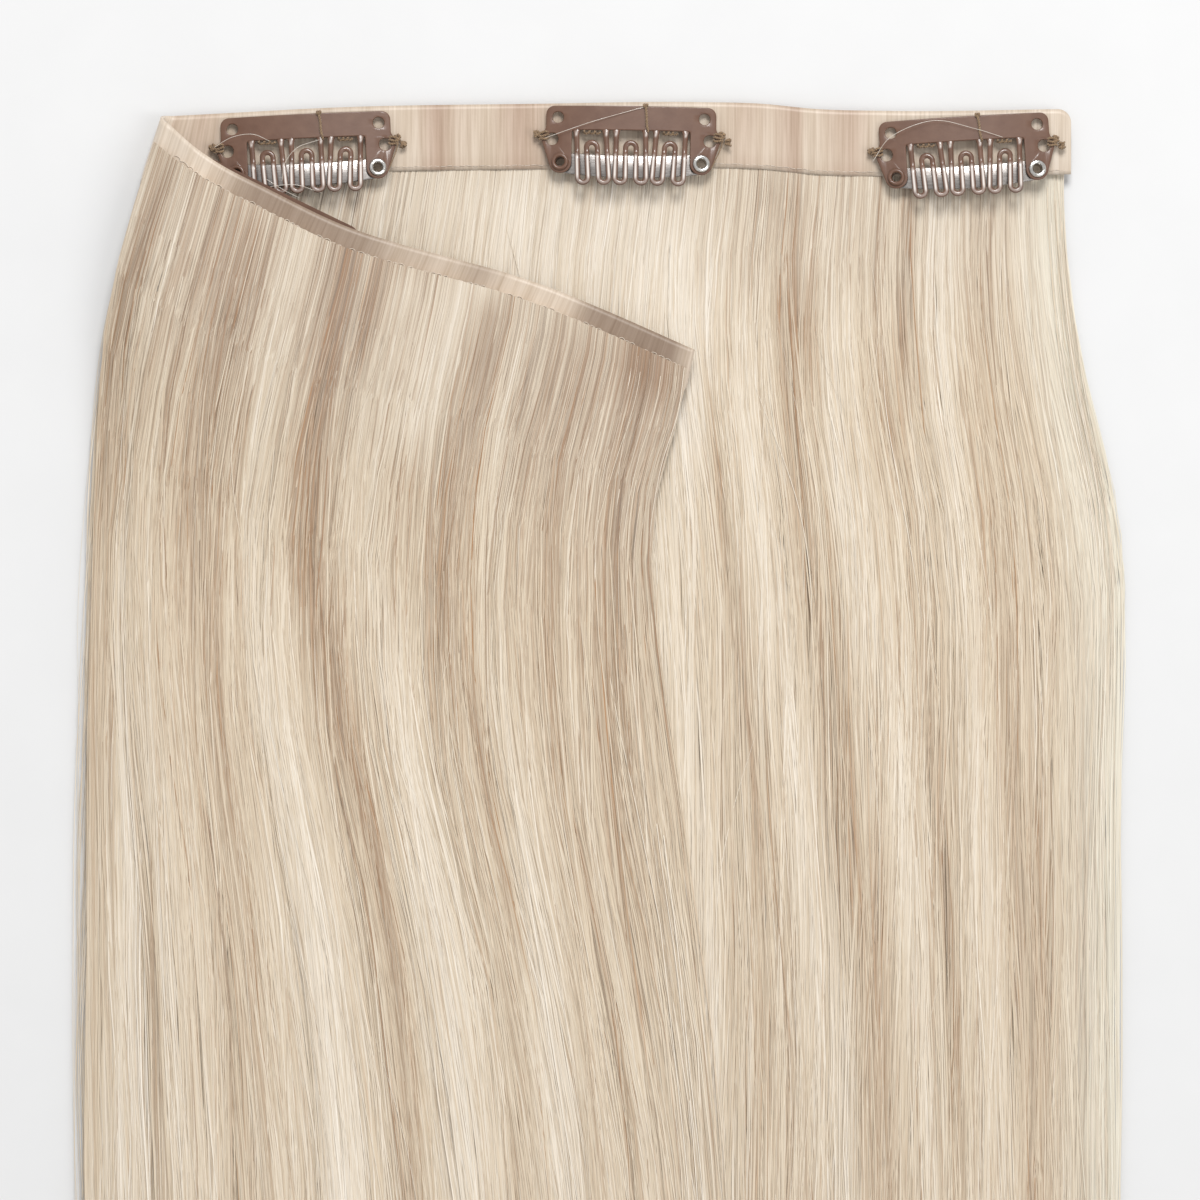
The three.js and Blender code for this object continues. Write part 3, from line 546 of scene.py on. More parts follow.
def tubes(lines, radius, sides):
    """Round tubes along lines of points, given as [line, point, xyz]: a circle of points round each point,
    square to the line, carried from one point to the next without twist, and closed at both ends by a fan
    of quads."""
    count, length = lines.shape[:2]
    radius = np.broadcast_to(radius, (count, length))
    along = unit(np.gradient(lines, axis=1))
    side = np.zeros_like(lines)
    helper = np.where(np.abs(along[:, :1, 2:]) < 0.9, [[[0, 0, 1.0]]], [[[1.0, 0, 0]]])
    side[:, 0] = unit(np.cross(along[:, 0], helper[:, 0]))
    for k in range(1, length):
        turned = side[:, k - 1] - np.sum(side[:, k - 1] * along[:, k], -1, keepdims=True) * along[:, k]
        side[:, k] = unit(turned)
    other = np.cross(along, side)
    angle = 2 * math.pi * np.arange(sides) / sides
    ring = side[:, :, None] * np.cos(angle)[:, None] + other[:, :, None] * np.sin(angle)[:, None]
    points = lines[:, :, None] + ring * radius[:, :, None, None]
    faces = ring_faces(length, sides)
    offsets = np.arange(count) * length * sides
    return points.reshape(-1, 3), (faces[None] + offsets[:, None, None]).reshape(-1, 4)


def ring_faces(rows, sides):
    """Quads of a body of rings that follow each other, each with the same even number of points: the wall
    between them, and both ends filled by strips from one half of the ring to the other."""
    row = np.arange(rows - 1)[:, None] * sides
    here = np.arange(sides)[None, :]
    following = (here + 1) % sides
    corners = [row + here, row + following, row + sides + following, row + sides + here]
    wall = np.stack(corners, -1).reshape(-1, 4)
    step = np.arange(sides // 2 - 1)
    cap = np.stack([step, step + 1, sides - 2 - step, sides - 1 - step], -1)
    return np.concatenate([wall, cap[:, ::-1], cap + (rows - 1) * sides])


def join(parts):
    """Several bodies of quads as one: their points in a row, and their faces renumbered."""
    points, faces, start = [], [], 0
    for some_points, some_faces in parts:
        points.append(some_points)
        faces.append(some_faces + start)
        start += len(some_points)
    return np.concatenate(points), np.concatenate(faces)


def outward(points, faces):
    """The same faces, turned round if the volume that they close comes out negative."""
    a, b, c, d = (points[faces[:, k]] for k in range(4))
    volume = np.sum(a * np.cross(b, c)) + np.sum(a * np.cross(c, d))
    return faces if volume > 0 else faces[:, ::-1]


def new_piece(name, points, faces, material, closed=True, body="root"):
    """An object from points in the part's frame and quads, set in the row frame in metres."""
    if closed:
        faces = outward(points, faces)
    mesh = bpy.data.meshes.new(name)
    mesh.vertices.add(len(points))
    mesh.vertices.foreach_set("co", ((points + MODEL_ORIGIN) * MILLIMETRE).astype(np.float32).ravel())
    mesh.loops.add(faces.size)
    mesh.loops.foreach_set("vertex_index", faces.astype(np.int32).ravel())
    mesh.polygons.add(len(faces))
    mesh.polygons.foreach_set("loop_start", np.arange(0, faces.size, 4, dtype=np.int32))
    mesh.polygons.foreach_set("use_smooth", np.ones(len(faces), bool))
    mesh.update(calc_edges=True)
    piece = bpy.data.objects.new(name, mesh)
    bpy.context.scene.collection.objects.link(piece)
    mesh.materials.append(material)
    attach(piece, body)
    return piece


def set_colours(piece, colours):
    """Stores one linear colour for each point, as the attribute that the hair and tape read."""
    layer = piece.data.attributes.new("shade", "FLOAT_COLOR", "POINT")
    filled = np.ones((len(colours), 4), np.float32)
    filled[:, :3] = colours
    layer.data.foreach_set("color", filled.ravel())


def set_uv(piece, places):
    """Stores a place on the surface for each point as the piece's UV map."""
    layer = piece.data.uv_layers.new(name="surface")
    corner = np.zeros(len(piece.data.loops), np.int32)
    piece.data.loops.foreach_get("vertex_index", corner)
    layer.data.foreach_set("uv", places[corner].astype(np.float32).ravel())


def linear(red, green, blue):
    """An ordinary 0-255 colour as linear light."""
    share = np.array([red, green, blue], float) / 255
    return np.where(share <= 0.04045, share / 12.92, ((share + 0.055) / 1.055) ** 2.4)


# Materials


class Finish:
    """A material's node tree with its shader, and short ways to add nodes to it."""

    def __init__(self, name, **settings):
        self.material = bpy.data.materials.new(name)
        self.material.use_nodes = True
        self.nodes = self.material.node_tree.nodes
        self.shader = self.nodes["Principled BSDF"]
        for socket, value in settings.items():
            self.shader.inputs[socket.replace("_", " ")].default_value = value

    def node(self, kind, inputs=None, **settings):
        made = self.nodes.new("ShaderNode" + kind)
        for key, value in settings.items():
            setattr(made, key, value)
        for socket, value in (inputs or {}).items():
            if isinstance(value, bpy.types.NodeSocket):
                self.material.node_tree.links.new(value, made.inputs[socket])
            else:
                made.inputs[socket].default_value = value
        return made

    def feed(self, socket, value):
        self.material.node_tree.links.new(value, self.shader.inputs[socket])

    def noise(self, scale, stretch=(1, 1, 1), where="Object", detail=3.0, roughness=0.55):
        """Noise on the piece's own coordinates, stretched along its axes."""
        place = self.node("TexCoord").outputs[where]
        spread = self.node("Mapping", {"Vector": place, "Scale": stretch})
        return self.node("TexNoise", {"Vector": spread.outputs[0], "Scale": scale, "Detail": detail,
                                      "Roughness": roughness}).outputs["Fac"]

    def ramp(self, value, *stops):
        """Colours at given places of a value from 0 to 1."""
        made = self.node("ValToRGB", {"Fac": value})
        while len(made.color_ramp.elements) < len(stops):
            made.color_ramp.elements.new(0.5)
        for element, (place, colour) in zip(made.color_ramp.elements, stops):
            element.position = place
            element.color = (*colour, 1)
        return made.outputs["Color"]

    def times(self, one, other, share=1.0):
        """Two colours multiplied."""
        made = self.node("Mix", {0: share}, data_type="RGBA", blend_type="MULTIPLY")
        self.material.node_tree.links.new(one, made.inputs[6])
        self.material.node_tree.links.new(other, made.inputs[7])
        return made.outputs[2]

    def bump(self, height, distance, strength=1.0):
        made = self.node("Bump", {"Height": height, "Distance": distance, "Strength": strength})
        self.feed("Normal", made.outputs[0])


def hair_finish(name, roughness, sparkle):
    """Hair: its colour from the strands' own shade, broken up along each strand, and a sheen that is drawn
    out across the strands by an anisotropic gloss."""
    made = Finish(name, Roughness=roughness, Specular_IOR_Level=sparkle, Anisotropic=0.75)
    shade = made.node("Attribute", attribute_name="shade", attribute_type="GEOMETRY").outputs["Color"]
    streaks = made.noise(1.0, (2600, 90, 1), "UV", detail=2.0)
    broken = made.ramp(streaks, (0.25, (0.9, 0.88, 0.86)), (0.7, (1.0, 1.0, 1.0)))
    made.feed("Base Color", made.times(shade, broken))
    made.feed("Tangent", made.node("Tangent", direction_type="UV_MAP", uv_map="surface").outputs[0])
    return made.material


def tape_finish():
    """Tape: a satin film through which the hair under it shows as fine streaks across its width."""
    made = Finish("tape_film", Roughness=0.42, Specular_IOR_Level=0.45, Sheen_Weight=0.15)
    shade = made.node("Attribute", attribute_name="shade", attribute_type="GEOMETRY").outputs["Color"]
    fine = made.noise(1.0, (2400, 60, 1), "UV", detail=3.0)
    broad = made.noise(1.0, (420, 25, 1), "UV", detail=2.0)
    streaked = made.times(shade, made.ramp(fine, (0.3, (0.8, 0.765, 0.73)), (0.6, (1.0, 1.0, 1.0))))
    clouded = made.ramp(broad, (0.35, (0.87, 0.84, 0.8)), (0.6, (1.0, 1.0, 1.0)))
    made.feed("Base Color", made.times(streaked, clouded))
    made.bump(made.noise(1.0, (3200, 1400, 1), "UV", detail=2.0), 0.00006, 0.35)
    return made.material


def lacquer_finish():
    """Brown lacquer on steel: an even brown with faint clouds, a clear coat, and an orange-peel bump."""
    made = Finish("brown_lacquer", Roughness=0.34, Specular_IOR_Level=0.35, Coat_Weight=0.3,
                  Coat_Roughness=0.1)
    clouds = made.noise(420.0, detail=4.0)
    made.feed("Base Color", made.ramp(clouds, (0.3, linear(96, 67, 52)), (0.7, linear(107, 78, 62))))
    made.bump(made.noise(2600.0, detail=2.0), 0.00002, 0.35)
    return made.material


def wire_finish():
    """The teeth's lacquer with a painted highlight: a pale glare along the wires' crowns, mixed into the
    brown by a share stored with each point."""
    made = Finish("lacquer_with_painted_glare", Roughness=0.28, Specular_IOR_Level=0.4, Coat_Weight=0.4,
                  Coat_Roughness=0.08)
    painted_glare = made.node("Attribute", attribute_name="painted_glare", attribute_type="GEOMETRY").outputs["Fac"]
    brown = made.ramp(made.noise(420.0, detail=4.0), (0.3, linear(92, 64, 49)), (0.7, linear(111, 81, 65)))
    both = made.node("Mix", {0: painted_glare}, data_type="RGBA")
    made.material.node_tree.links.new(brown, both.inputs[6])
    # pale colour of the painted glare on the teeth
    both.inputs[7].default_value = (*linear(232, 224, 217), 1)
    made.feed("Base Color", both.outputs[2])
    return made.material


def bow_finish():
    """The bow's bare bright steel, with faint brushing marks along it."""
    made = Finish("bow_steel", Roughness=0.26, Metallic=0.9)
    brushed = made.noise(900.0, (1, 6, 1), detail=4.0)
    made.feed("Base Color", made.ramp(brushed, (0.3, linear(138, 132, 128)), (0.7, linear(178, 173, 169))))
    made.bump(brushed, 0.00001, 0.2)
    return made.material


def nickel_finish():
    """Bright nickel of the open rivets, with fine turning marks and a little tarnish."""
    made = Finish("bright_nickel", Roughness=0.16, Metallic=1.0)
    marks = made.noise(2200.0, (1, 1, 4), detail=4.0)
    made.feed("Base Color", made.ramp(marks, (0.3, linear(196, 192, 186)), (0.65, linear(236, 234, 230))))
    made.bump(marks, 0.00001, 0.3)
    return made.material


def thread_finish(name, dark, pale, roughness):
    """Spun thread: two shades that change along the twist, with fuzz in the bump."""
    made = Finish(name, Roughness=roughness, Sheen_Weight=0.3, Sheen_Roughness=0.5)
    twist = made.noise(5200.0, detail=4.0)
    made.feed("Base Color", made.ramp(twist, (0.3, dark), (0.68, pale)))
    made.bump(made.noise(9000.0, detail=3.0), 0.00004, 0.6)
    return made.material


def clear_finish():
    """A nearly clear monofilament, pale and glossy."""
    made = Finish("clear_thread", Roughness=0.18, Specular_IOR_Level=0.7, Coat_Weight=0.4)
    shade = made.ramp(made.noise(800.0), (0.3, linear(214, 200, 184)), (0.7, linear(244, 238, 228)))
    made.feed("Base Color", shade)
    return made.material


def surface_finish():
    """The pale surface below, with a hardly visible grain."""
    made = Finish("pale_surface", Roughness=0.9, Specular_IOR_Level=0.1)
    grain = made.ramp(made.noise(60.0), (0.3, linear(218, 218, 218)), (0.7, linear(220, 220, 220)))
    made.feed("Base Color", grain)
    return made.material


# Camera, light and the surface below

PICTURE_WIDTH = 0.2136  # metres of the surface that the picture shows
PICTURE_MIDDLE = (0.001104, 0.126894)
CAMERA_DISTANCE = 1.3
SENSOR = 36.0
SURROUND = 0.55  # strength of the even light from all round
KEY_POWER = 16.0
SIDE_POWER = 3.5


def make_camera():
    """A long lens straight above the hair, with the picture's framing."""
    data = bpy.data.cameras.new("camera")
    data.sensor_width = SENSOR
    data.lens = SENSOR * CAMERA_DISTANCE / PICTURE_WIDTH
    data.clip_start = 0.05
    data.clip_end = 20
    camera = bpy.data.objects.new("camera", data)
    camera.location = (*PICTURE_MIDDLE, CAMERA_DISTANCE)
    bpy.context.scene.collection.objects.link(camera)
    bpy.context.scene.camera = camera


def soft_box(name, place, aim, size, power, tint=(1, 1, 1)):
    """A rectangular lamp at a place in metres, turned towards a point."""
    data = bpy.data.lights.new(name, "AREA")
    data.shape = "RECTANGLE"
    data.size, data.size_y = size
    data.energy = power
    data.color = tint
    lamp = bpy.data.objects.new(name, data)
    way = np.array(place) - np.array(aim)
    turn = math.atan2(way[1], way[0])
    lean = math.atan2(math.hypot(way[0], way[1]), way[2])
    lamp.rotation_euler = (0, lean, turn)
    lamp.location = place
    bpy.context.scene.collection.objects.link(lamp)


def make_studio():
    """A pale surface, an even pale surround, a large soft lamp behind the tape and a second one at the
    right."""
    world = bpy.data.worlds.new("studio")
    bpy.context.scene.world = world
    world.use_nodes = True
    world.node_tree.nodes["Background"].inputs["Color"].default_value = (1, 1, 1, 1)
    world.node_tree.nodes["Background"].inputs["Strength"].default_value = SURROUND
    bpy.context.scene.view_settings.view_transform = "Standard"
    soft_box("lamp_behind", (0.12, 1.0, 1.15), (0, 0.1, 0), (0.5, 0.5), KEY_POWER)
    soft_box("lamp_right", (0.8, -0.05, 1.1), (0, 0.1, 0), (0.9, 0.5), SIDE_POWER)
    floor = bpy.data.meshes.new("floor")
    floor.from_pydata([(-3, -3, 0), (3, -3, 0), (3, 3, 0), (-3, 3, 0)], [], [(0, 1, 2, 3)])
    floor.materials.append(surface_finish())
    shown = bpy.data.objects.new("floor", floor)
    shown.location.z = -0.0002
    bpy.context.scene.collection.objects.link(shown)


# Forms that the tape, the hair and the clips share


def base_edge(run):
    """Height in the picture of the tape's top edge, a given run from the fold."""
    return TAPE_WIDTH * smooth_column(BASE_WAVE, "rise", run / BASE_RUN)


def crease_edge(angle):
    """Place of the tape's top edge as it turns over: a helix seen from above, outward with the sine of the
    turn and evenly down the fold's line."""
    out = CREASE_RADIUS * np.sin(angle)
    slip = CREASE_SLIP * angle
    x = CREASE_PLACE - out * math.sin(CREASE_LEAN) - slip * math.cos(CREASE_LEAN)
    y = base_edge(CREASE_PLACE) + out * math.cos(CREASE_LEAN) - slip * math.sin(CREASE_LEAN)
    return x, y


def flap_edge(run):
    """Place of the flap's top edge: along a line that dips from the fold, off it by the edge's own wave."""
    rise = TAPE_WIDTH * smooth_column(FLAP_WAVE, "rise", run / FLAP_RUN)
    x, y = crease_edge(math.pi)
    return x + run * math.cos(DIP) + rise * math.sin(DIP), y - run * math.sin(DIP) + rise * math.cos(DIP)


def sheet_depth(full, down):
    """Thickness of a sheet of hair below its roots: from the root's to the full one, then tapered to the
    tips."""
    free = (down - COVERED_RUN) / (HAIR_LENGTH - COVERED_RUN)
    swell = smooth_column(HAIR_SWELL, "swell", free)
    return (ROOT_DEPTH + (full - ROOT_DEPTH) * swell) * smooth_column(HAIR_SWELL, "taper", free)


def arch_lift(x):
    """A clip's arch: it falls off with the square of the distance from its middle."""
    return -CLIP_SAG * (x / (CLIP_LENGTH / 2)) ** 2


CLIP_HEIGHT = (
    TAPE_LIFT + TAPE_THICKNESS / 2 + LAYER_GAP + METAL / 2
    - arch_lift(BAR_LENGTH / 2) + BAR_TOP * math.sin(CLIP_TILT)
)
CLIP_CROWN = CLIP_HEIGHT + TOOTH_STEP + METAL / 2 + CLIP_DROP * math.sin(CLIP_TILT)


def flap_height(run):
    """Height of the flap's middle layer: over the fold, over the clip beneath it, and over the lower hair."""
    at_fold = TAPE_LIFT + 2 * CREASE_RADIUS
    stack = HIDDEN_METAL + 2 * LAYER_GAP + TAPE_THICKNESS / 2
    lowest = -flap_edge(np.array(FLAP_RUN))[1] + BAR_TOP + CLIP_DROP
    over_hair = sheet_depth(UNDER_DEPTH, lowest) + LAYER_GAP + stack
    high = straight_column(FLAP_LIFT, "high", run / FLAP_RUN)
    low = straight_column(FLAP_LIFT, "low", run / FLAP_RUN)
    return at_fold + high * (CLIP_CROWN + stack - at_fold) + low * (over_hair - at_fold)


def lean_at(run, lean):
    """Angle of the tape's cross lines: that of the fold, turning to the run's own within a short reach."""
    return CREASE_LEAN + np.clip(run / CREASE_REACH, 0, 1) * (lean - CREASE_LEAN)


# Tape


def tape_stations():
    """Every cross line of the tape from its rounded right end to the flap's end: the place of its top end,
    its lean, its width, its height, the way its hair side faces, its run, and the shade of the tape
    there."""
    corner = np.linspace(0, math.pi / 2, 12)
    near_end = BASE_RUN - TAPE_CORNER * (1 - np.cos(corner))
    run = np.concatenate([near_end, np.linspace(BASE_RUN - TAPE_CORNER, CREASE_PLACE, 210)[1:]])
    drop = np.concatenate([TAPE_CORNER * (1 - np.sin(corner)), np.zeros(209)])
    lean = lean_at(run - CREASE_PLACE, math.pi / 2)
    rows = [np.stack([run, base_edge(run) - drop, lean, TAPE_WIDTH / np.sin(lean) - drop,
                      np.full_like(run, TAPE_LIFT), 0 * run, 0 * run, 0 * run - 1,
                      straight_column(BASE_TAPE_TONES, "tone", run / BASE_RUN), -run], -1)]
    turn = np.linspace(0, math.pi, 22)[1:]
    way = np.array([-math.sin(CREASE_LEAN), math.cos(CREASE_LEAN)])
    out = np.sin(turn)
    x, y = crease_edge(turn)
    rows.append(np.stack([x, y, 0 * turn + CREASE_LEAN, 0 * turn + TAPE_WIDTH / math.sin(CREASE_LEAN),
                          TAPE_LIFT + CREASE_RADIUS * (1 - np.cos(turn)), way[0] * out, way[1] * out,
                          -np.cos(turn), 0 * turn + FLAP_TAPE_TONES[0]["tone"],
                          CREASE_RADIUS * turn - CREASE_PLACE], -1))
    run = np.linspace(0, FLAP_RUN, 170)[1:]
    at_end = np.clip(1 - (FLAP_RUN - run) / CREASE_REACH, 0, 1)
    lean = lean_at(run, FLAP_LEAN) + at_end * FLAP_END_SLANT
    x, y = flap_edge(run)
    in_corner = np.clip(1 - (FLAP_RUN - run) / FLAP_CORNER, 0, 1)
    cut_back = FLAP_CORNER * (1 - np.sqrt(1 - in_corner**2))
    rows.append(np.stack([x, y, lean, TAPE_WIDTH / np.sin(lean + DIP) - cut_back, flap_height(run),
                          0 * run, 0 * run, 0 * run + 1,
                          straight_column(FLAP_TAPE_TONES, "tone", run / FLAP_RUN), run], -1))
    return np.concatenate(rows)


def tape_colour(tone, warm):
    """Shade of the film: beige at 0, browner below it, paler above it; the brown is rosier where warm is
    1."""
    stops = np.array([linear(141, 121, 104), linear(206, 190, 172), linear(238, 229, 216)])
    shade = np.stack([np.interp(tone, [-1, 0, 1], stops[:, k]) for k in range(3)], -1)
    return shade * (1 + (warm * np.clip(-tone, 0, 1))[..., None] * np.array([0.12, -0.05, -0.09]))


def make_tape():
    """The film: each cross line carried to both its faces, thinner towards its lower edge, which ripples
    faintly."""
    rows = tape_stations()
    across = np.linspace(0, 1, 14)
    lines = np.stack([np.cos(rows[:, 2]), np.sin(rows[:, 2]), 0 * rows[:, 2]], -1)
    middle = np.concatenate([rows[:, :2], rows[:, 4:5]], -1)
    grid = middle[:, None] - lines[:, None] * (rows[:, 3, None] * across)[..., None]
    along = rows[:, 9, None]
    ripple = 0.07 * across**2 * (np.sin(along / 2.3) + 0.6 * np.sin(along / 0.9 + 2 * across))
    facing = rows[:, 5:8][:, None]
    grid = grid + facing * ripple[..., None]
    half = facing * (FILM / 2 * (1 - 0.5 * ease(across, 0.75, 1)))[:, None]
    points, faces = closed_sheet(grid - half, grid + half)
    piece = new_piece("weft_tape", points, faces, tape_finish())
    tone = rows[:, 8, None] + 0.12 * across - 0.12 * np.exp(-(((across - 0.9) / 0.05) ** 2))
    colour = tape_colour(tone, np.where(rows[:, 7:8] < 0, 1.0, 0.0) + 0 * tone).reshape(-1, 3)
    set_colours(piece, np.concatenate([colour, colour]))
    place = np.stack([along + 0 * across, 0 * along - across * TAPE_WIDTH], -1).reshape(-1, 2)
    set_uv(piece, np.concatenate([place, place]) * MILLIMETRE)
    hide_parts("weft_band")
    return piece


# Hair

HAIR_DARK = linear(157, 129, 104)
HAIR_MIDDLE = linear(214, 198, 174)
HAIR_PALE = linear(236, 227, 213)
HAIR_FRINGE = linear(229, 225, 210)


def lock_form(across):
    """Fullness and reach of a sheet at a place across it: half ellipses side by side, one for each lock, on a
    common floor; each lock's reach falls off with the square of the distance from its middle."""
    ends = np.cumsum([0] + [lock["width"] for lock in LOCKS])
    ends = ends / ends[-1]
    centres = (ends[1:] + ends[:-1]) / 2
    which = np.clip(np.searchsorted(ends, across, side="right") - 1, 0, len(LOCKS) - 1)
    part = np.clip((across - ends[which]) / (ends[which + 1] - ends[which]), 0, 1)
    height = np.array([lock["height"] for lock in LOCKS])[which]
    fullness = LOCK_VALLEY + (height - LOCK_VALLEY) * np.sqrt(4 * part * (1 - part))
    reach = np.interp(across, centres, [lock["reach"] for lock in LOCKS]) - TIP_NOTCH * (2 * part - 1) ** 2
    return fullness, reach


def edge_factor(across, reach):
    """How a sheet thins to its side edges, each with its own reach and its own share left at the edge."""
    sides = [np.clip(inside / wide, 0, 1) * (1 - left) + left
             for inside, (wide, left) in ((across, reach[0]), (1 - across, reach[1]))]
    return np.minimum(*sides)


def under_sides(down):
    """The lower sheet's left and right edge, a given run below its roots."""
    at = down / HAIR_LENGTH
    return tuple(BASE_RUN * smooth_column(UNDER_EDGES, side, at) for side in ("left", "right"))


def under_place(across, down):
    """Place of a point of the lower sheet: straight below its root, drawn out with its side edges by the
    cubes of the nearness to them, and swayed most at two thirds of its width."""
    left, right = under_sides(down)
    sway = BASE_RUN * smooth_column(UNDER_EDGES, "sway", down / HAIR_LENGTH) * 6.75 * across**2 * (1 - across)
    first, last = (BASE_RUN * UNDER_EDGES[0][side] for side in ("left", "right"))
    root = first + (last - first) * across
    drift = (left - first) * (1 - across) ** 3 + (right - last) * across**3
    return root + drift + sway, base_edge(root) - STITCH_INSET - down


def under_top(x, y):
    """Height of the lower sheet's upper side, without the valleys between its locks."""
    down = -STITCH_INSET - y
    left, right = under_sides(down)
    return sheet_depth(UNDER_DEPTH, down) * edge_factor((x - left) / (right - left), UNDER_EDGE_REACH)


def under_floor(across, down, x, y):
    """The lower sheet lies on the surface; its roots stand up to the tape."""
    return (1 - ease(down, 4, 26)) * ROOT_LIFT * np.ones_like(x)


def over_place(across, down):
    """Place of a point of the upper sheet: its root on the flap's stitch row, plus the sideways drift of the
    left, middle and right strands, each weighed by a parabola across the sheet."""
    run = FLAP_RUN * across
    lean = lean_at(run, FLAP_LEAN)
    x, y = flap_edge(run)
    at = down / HAIR_LENGTH
    drift = (
        smooth_column(OVER_DRIFT, "left", at) * (1 - across) * (1 - 2 * across)
        + smooth_column(OVER_DRIFT, "middle", at) * 4 * across * (1 - across)
        + smooth_column(OVER_DRIFT, "right", at) * across * (2 * across - 1)
    )
    over_fold = CREASE_RADIUS * np.maximum(0, 1 - run / CREASE_REACH)
    x = x - STITCH_INSET * np.cos(lean) - over_fold * math.sin(CREASE_LEAN)
    y = y - STITCH_INSET * np.sin(lean) + over_fold * math.cos(CREASE_LEAN)
    return x + BASE_RUN * drift, y - down


def over_floor(across, down, x, y):
    """Underside of the upper sheet: on the flap's face first, then eased down to the sheet below, soonest
    beside the flap's free end."""
    on_flap = flap_height(FLAP_RUN * across) + FILM / 2
    at_side = ease(across, 0.95, 1)
    held = BAR_TOP + CLIP_DROP - STITCH_INSET + LAYER_GAP
    held = held + (COVERED_RUN + 1 - held) * at_side
    settled = ease(down, held, held + SETTLE_RUN * (1 - 0.3 * at_side))
    return on_flap + settled * (under_top(x, y) + DRAPE_GAP * (1 - ease(across, 0.85, 1)) - on_flap)


SHEETS = {
    "under": (under_place, under_floor, UNDER_DEPTH, UNDER_EDGE_REACH),
    "over": (over_place, over_floor, OVER_DEPTH, OVER_EDGE_REACH),
}
FRAY = {"under": 0.07, "over": 0.16}  # share of its width over which a sheet's right edge is loose
FRINGE = {"under": 0.9, "over": 0.0}  # how much paler and greener the thin hairs of a sheet's right edge are
BODY_END = {"under": 0.98, "over": 0.955}  # share of a sheet's width that its dense inside fills


def tone_at(bands, x, y):
    """Tone of the hair at a place: the sum of the bands, each a bell across its path that fades in and out
    beyond the path's two ends."""
    tone = np.zeros_like(x)
    for band in bands:
        path = np.array(band["path"])[::-1]
        middle = np.interp(y, path[:, 1], path[:, 0])
        fade = ease(y, path[0, 1] - 9, path[0, 1]) if path[0, 1] > LOWEST_NOTED else 1.0
        fade = fade * (1 - ease(y, path[-1, 1], path[-1, 1] + 7))
        tone += band["tone"] * np.exp(-(((x - middle) / band["half"]) ** 2)) * fade
    return tone


BAND_SHARE = 0.66  # strength of the single locks' own tones
# Tone of each whole sheet, a given run in millimetres below its roots. The darkening near the roots is
# painted shade below the flap and the tape, together with the roots' own darker tone.
ROOT_TONES = [
    {"at": 0, "under": -0.12, "over": -0.38},
    {"at": 8, "under": -0.1, "over": -0.5},
    {"at": 13, "under": -0.08, "over": -0.48},
    {"at": 25, "under": 0.02, "over": -0.38},
    {"at": 60, "under": 0.02, "over": -0.18},
    {"at": 110, "under": -0.04, "over": 0.03},
    {"at": 180, "under": -0.04, "over": 0.18},
]
LOWEST_NOTED = -190.0  # bands that reach this far down run on to the tips


def hair_colour(tone, warmth):
    """Colour for a tone from -1, the lowlights, to 1, the palest blond; warmth shifts the lowlights from
    ash to caramel."""
    tone = np.clip(tone, -1, 1)[..., None]
    dark = HAIR_DARK * (1 + warmth[..., None] * np.array([0.12, 0.0, -0.14]))
    browner = HAIR_MIDDLE + tone * (HAIR_MIDDLE - dark)
    paler = HAIR_MIDDLE + tone * (HAIR_PALE - HAIR_MIDDLE)
    return np.where(tone < 0, browner, paler)


def ashen(colour, down):
    """The same colour, a little greyer at the roots and less so down to half a decimetre below them."""
    grey = colour.mean(-1, keepdims=True)
    return grey + (colour - grey) * (1 - 0.16 * (1 - ease(down, 8, 50)))[..., None]


def strand_paths(sheet, across, rows, random):
    """Middle lines of strands: each follows its sheet's flow from the root, is drawn towards the middle of
    its clump, wanders with three slow waves of its own and of its clump, and rises and dives within the
    sheet's thickness. Returns the lines and how far up in the sheet they lie."""
    place, floor, full, edges = SHEETS[sheet]
    count = len(across)
    share = np.linspace(0, 1, rows) ** ROW_SPREAD
    _, reach = lock_form(across)
    cut = 1 - 0.16 * random.random(count) ** 3
    down = share * (HAIR_LENGTH - STITCH_INSET) * (reach * cut)[:, None]
    clump = np.clip((across * CLUMPS + random.normal(0, 0.35, count)).astype(int), 0, CLUMPS - 1)
    grown = ease(down, 0, 160)
    pull = (0.1 + 0.35 * random.random(count))[:, None]
    spread = across[:, None] + grown * pull * ((clump[:, None] + 0.5) / CLUMPS - across[:, None])
    spread = np.clip(spread, 0.0, 1.0)
    x, y = place(spread, down)
    wander = np.zeros_like(x)
    clump_phase = random.random((3, CLUMPS)) * 2 * math.pi
    for k, (wave, own, shared) in enumerate([(210, 0.8, 1.3), (95, 0.38, 0.5), (47, 0.16, 0.12)]):
        own_phase = random.random(count)[:, None] * 2 * math.pi
        strength = own * random.normal(0.6, 0.35, count)[:, None]
        wander += strength * np.sin(down * 2 * math.pi / wave + own_phase)
        wander += shared * np.sin(down * 2 * math.pi / wave + clump_phase[k][clump][:, None])
    inside = ease(np.minimum(spread, 1 - spread), 0, 0.05)
    x = x + wander * ease(down, 0, 60) * (0.3 + 0.7 * inside)
    frayed = np.clip(1 - (1 - across) / FRAY[sheet], 0, 1) * random.normal(0.35, 1.9, count)
    x = x + np.clip(frayed, -3.5, 4.0)[:, None] * ease(down, 5, 90)
    level = random.random(count)[:, None] ** 0.8
    rise_phase = random.random(count)[:, None] * 2 * math.pi
    level = level + 0.3 * np.sin(down * 2 * math.pi / 130 + rise_phase) * ease(down, 0, 40)
    level = np.clip(level, 0.04, 1)
    fullness, _ = lock_form(spread)
    thick = sheet_depth(full, down) * (1 + (fullness - 1) * ease(down, 2, 40)) * edge_factor(spread, edges)
    z = floor(spread, down, x, y) + 0.1 + thick * (BODY_SHARE + (1 - BODY_SHARE) * level)
    return np.stack([x, y, z], -1), level


